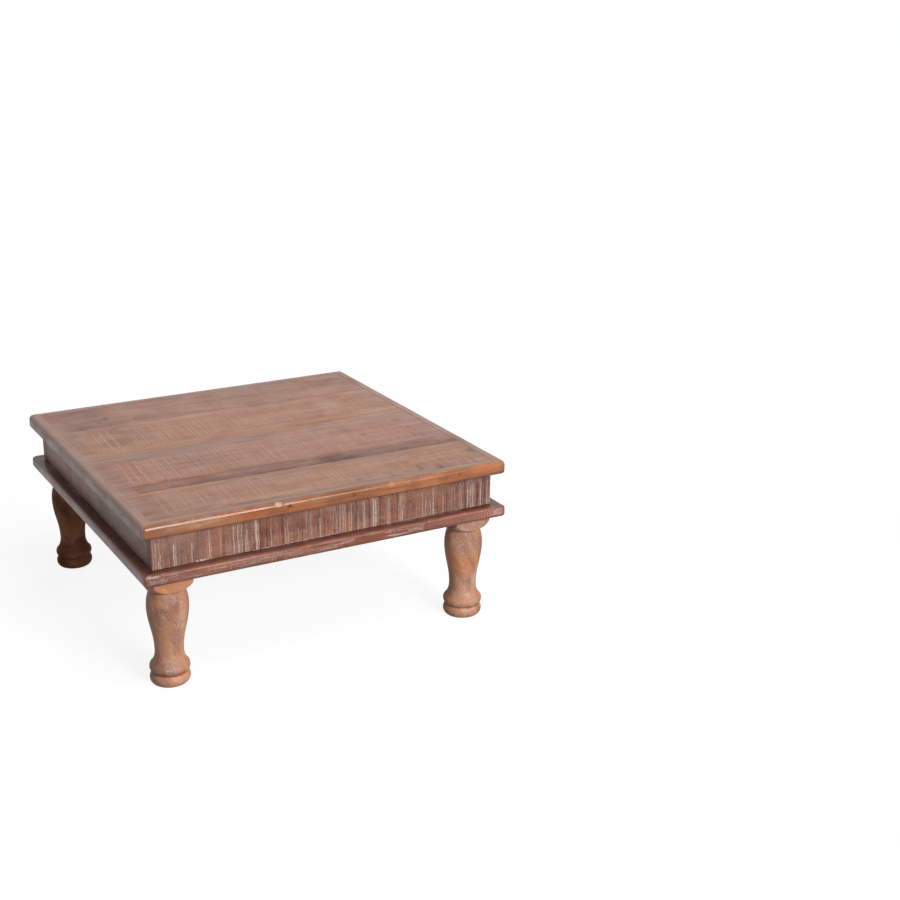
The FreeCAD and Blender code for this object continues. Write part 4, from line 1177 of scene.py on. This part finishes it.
# The floor and the light: a plain pale floor that keeps the table's shadow and turns to white away from it,
# a white surround that only the camera and reflections see, and soft lamps in front, above and behind. Sizes
# and places are in metres here.
FLOOR_HALF = 60.0
FLOOR_BOUNCE = 0.3
FLOOR_SEEN = 0.22
FLOOR_LIFT = 0.87
FLOOR_FADE = (0.35, 0.9)
FLOOR_TURN = (-0.35, 0.35)
WHITE = (1, 1, 1, 1)
AMBIENT = 0.22
BRIGHT_SIDE = (-0.55, 0.83, 0)
BRIGHT_TURN = (-0.3, 0.4)
REFLECTED = (0.3, 0.9)
LAMP_TARGET = (0, 0, 0.1)
LAMPS = {
    "key_lamp": {"place": (0.35, -2.4, 0.95), "size": 1.1, "power": 55, "glossy": True},
    "top_lamp": {"place": (0.7, -0.7, 1.9), "size": 1.2, "power": 18, "glossy": False},
    "back_lamp": {"place": (1.5, 1.9, 0.5), "size": 1.2, "power": 16, "glossy": False},
}


def brightness(nodes, place, turn):
    """How bright reflections see a place or a direction: low in front, high behind and to the left."""
    towards = nodes.add("VectorMath", {0: place, 1: BRIGHT_SIDE}, operation="DOT_PRODUCT").outputs["Value"]
    return nodes.span(towards, *turn, *REFLECTED, "LINEAR")


def make_floor():
    """Flat square of floor under the feet. The camera sees it lifted to white by a constant part, and all
    white from some distance on; reflections see it pale behind and to the left, and darker in front. From
    below it is clear, so that the underside can be looked at."""
    mesh = bpy.data.meshes.new("floor")
    h = FLOOR_HALF
    mesh.from_pydata([(-h, -h, 0), (h, -h, 0), (h, h, 0), (-h, h, 0)], [], [(0, 1, 2, 3)])
    floor = bpy.data.objects.new("floor", mesh)
    bpy.context.scene.collection.objects.link(floor)
    material = bpy.data.materials.new("pale_floor")
    material.use_nodes = True
    nodes = Nodes(material.node_tree)
    place = nodes.add("TexCoord").outputs["Object"]
    path = nodes.add("LightPath").outputs
    bounce, seen = (
        nodes.add("BsdfDiffuse", {"Color": (level, level, level, 1)}).outputs[0]
        for level in (FLOOR_BOUNCE, FLOOR_SEEN)
    )
    lift, white, grey = (
        nodes.add("Emission", {"Strength": strength}).outputs[0]
        for strength in (FLOOR_LIFT, 1.0, brightness(nodes, place, FLOOR_TURN))
    )
    distance = nodes.add("VectorMath", {0: place}, operation="LENGTH").outputs["Value"]
    near = nodes.add("AddShader", {0: seen, 1: lift}).outputs[0]
    faded = nodes.shade(nodes.span(distance, *FLOOR_FADE), near, white)
    reflected = nodes.shade(path["Is Glossy Ray"], bounce, grey)
    above = nodes.shade(path["Is Camera Ray"], reflected, faded)
    clear = nodes.add("BsdfTransparent").outputs[0]
    below = nodes.add("NewGeometry").outputs["Backfacing"]
    nodes.put(nodes.tree.nodes["Material Output"].inputs["Surface"], nodes.shade(below, above, clear))
    mesh.materials.append(material)


def make_surround():
    """World: white to the camera, brighter behind than in front to reflections, and an even ambient light to
    everything else."""
    world = bpy.data.worlds.new("surround")
    world.use_nodes = True
    nodes = Nodes(world.node_tree)
    direction = nodes.add("TexCoord").outputs["Generated"]
    path = nodes.add("LightPath").outputs
    soft, bright, white = (
        nodes.add("Background", {"Color": WHITE, "Strength": strength}).outputs[0]
        for strength in (AMBIENT, brightness(nodes, direction, BRIGHT_TURN), 1.0)
    )
    reflected = nodes.shade(path["Is Glossy Ray"], soft, bright)
    chosen = nodes.shade(path["Is Camera Ray"], reflected, white)
    nodes.put(nodes.tree.nodes["World Output"].inputs["Surface"], chosen)
    bpy.context.scene.world = world


def make_lamp(name, place, size, power, glossy):
    """Square area lamp aimed at the table, with or without a reflection of its own."""
    data = bpy.data.lights.new(name, "AREA")
    data.shape = "SQUARE"
    data.size = size
    data.energy = power
    lamp = bpy.data.objects.new(name, data)
    lamp.location = place
    lamp.visible_glossy = glossy
    lamp.rotation_euler = (Vector(LAMP_TARGET) - Vector(place)).to_track_quat("-Z", "Y").to_euler()
    bpy.context.scene.collection.objects.link(lamp)


make_floor()
make_surround()
for name, lamp in LAMPS.items():
    make_lamp(name, **lamp)


# The camera: the photograph's own view, from the front and a little from the left, looking down at about
# nineteen degrees. Its distance, turn and focal length come from the corners of the table in the photograph.
VIEW_TURN = math.radians(-29.99)
VIEW_RISE = math.radians(18.82)
VIEW_ROLL = math.radians(0.53)
VIEW_DISTANCE = 1665.1
VIEW_RIGHT = 214.0
VIEW_UP = 70.2
VIEW_AIM = (0, 0, 90)
FOCAL_PIXELS = 1482.0
IMAGE_PIXELS = 900
SENSOR_MM = 36.0


def make_camera():
    """Camera behind the aim point, moved aside in its own picture plane and rolled."""
    level = math.cos(VIEW_RISE)
    back = Vector((math.sin(VIEW_TURN) * level, -math.cos(VIEW_TURN) * level, math.sin(VIEW_RISE)))
    right = (-back).cross(Vector((0, 0, 1))).normalized()
    up = right.cross(-back)
    rolled_right = right * math.cos(VIEW_ROLL) + up * math.sin(VIEW_ROLL)
    rolled_up = up * math.cos(VIEW_ROLL) - right * math.sin(VIEW_ROLL)
    place = Vector(VIEW_AIM) + back * VIEW_DISTANCE + rolled_right * VIEW_RIGHT + rolled_up * VIEW_UP
    data = bpy.data.cameras.new("camera")
    data.sensor_width = SENSOR_MM
    data.lens = FOCAL_PIXELS / IMAGE_PIXELS * SENSOR_MM
    camera = bpy.data.objects.new("camera", data)
    axes = Matrix((rolled_right, rolled_up, back)).transposed().to_4x4()
    camera.matrix_world = Matrix.Translation(place * MM) @ axes
    bpy.context.scene.collection.objects.link(camera)
    bpy.context.scene.camera = camera


make_camera()
bpy.context.scene.view_settings.view_transform = "Standard"
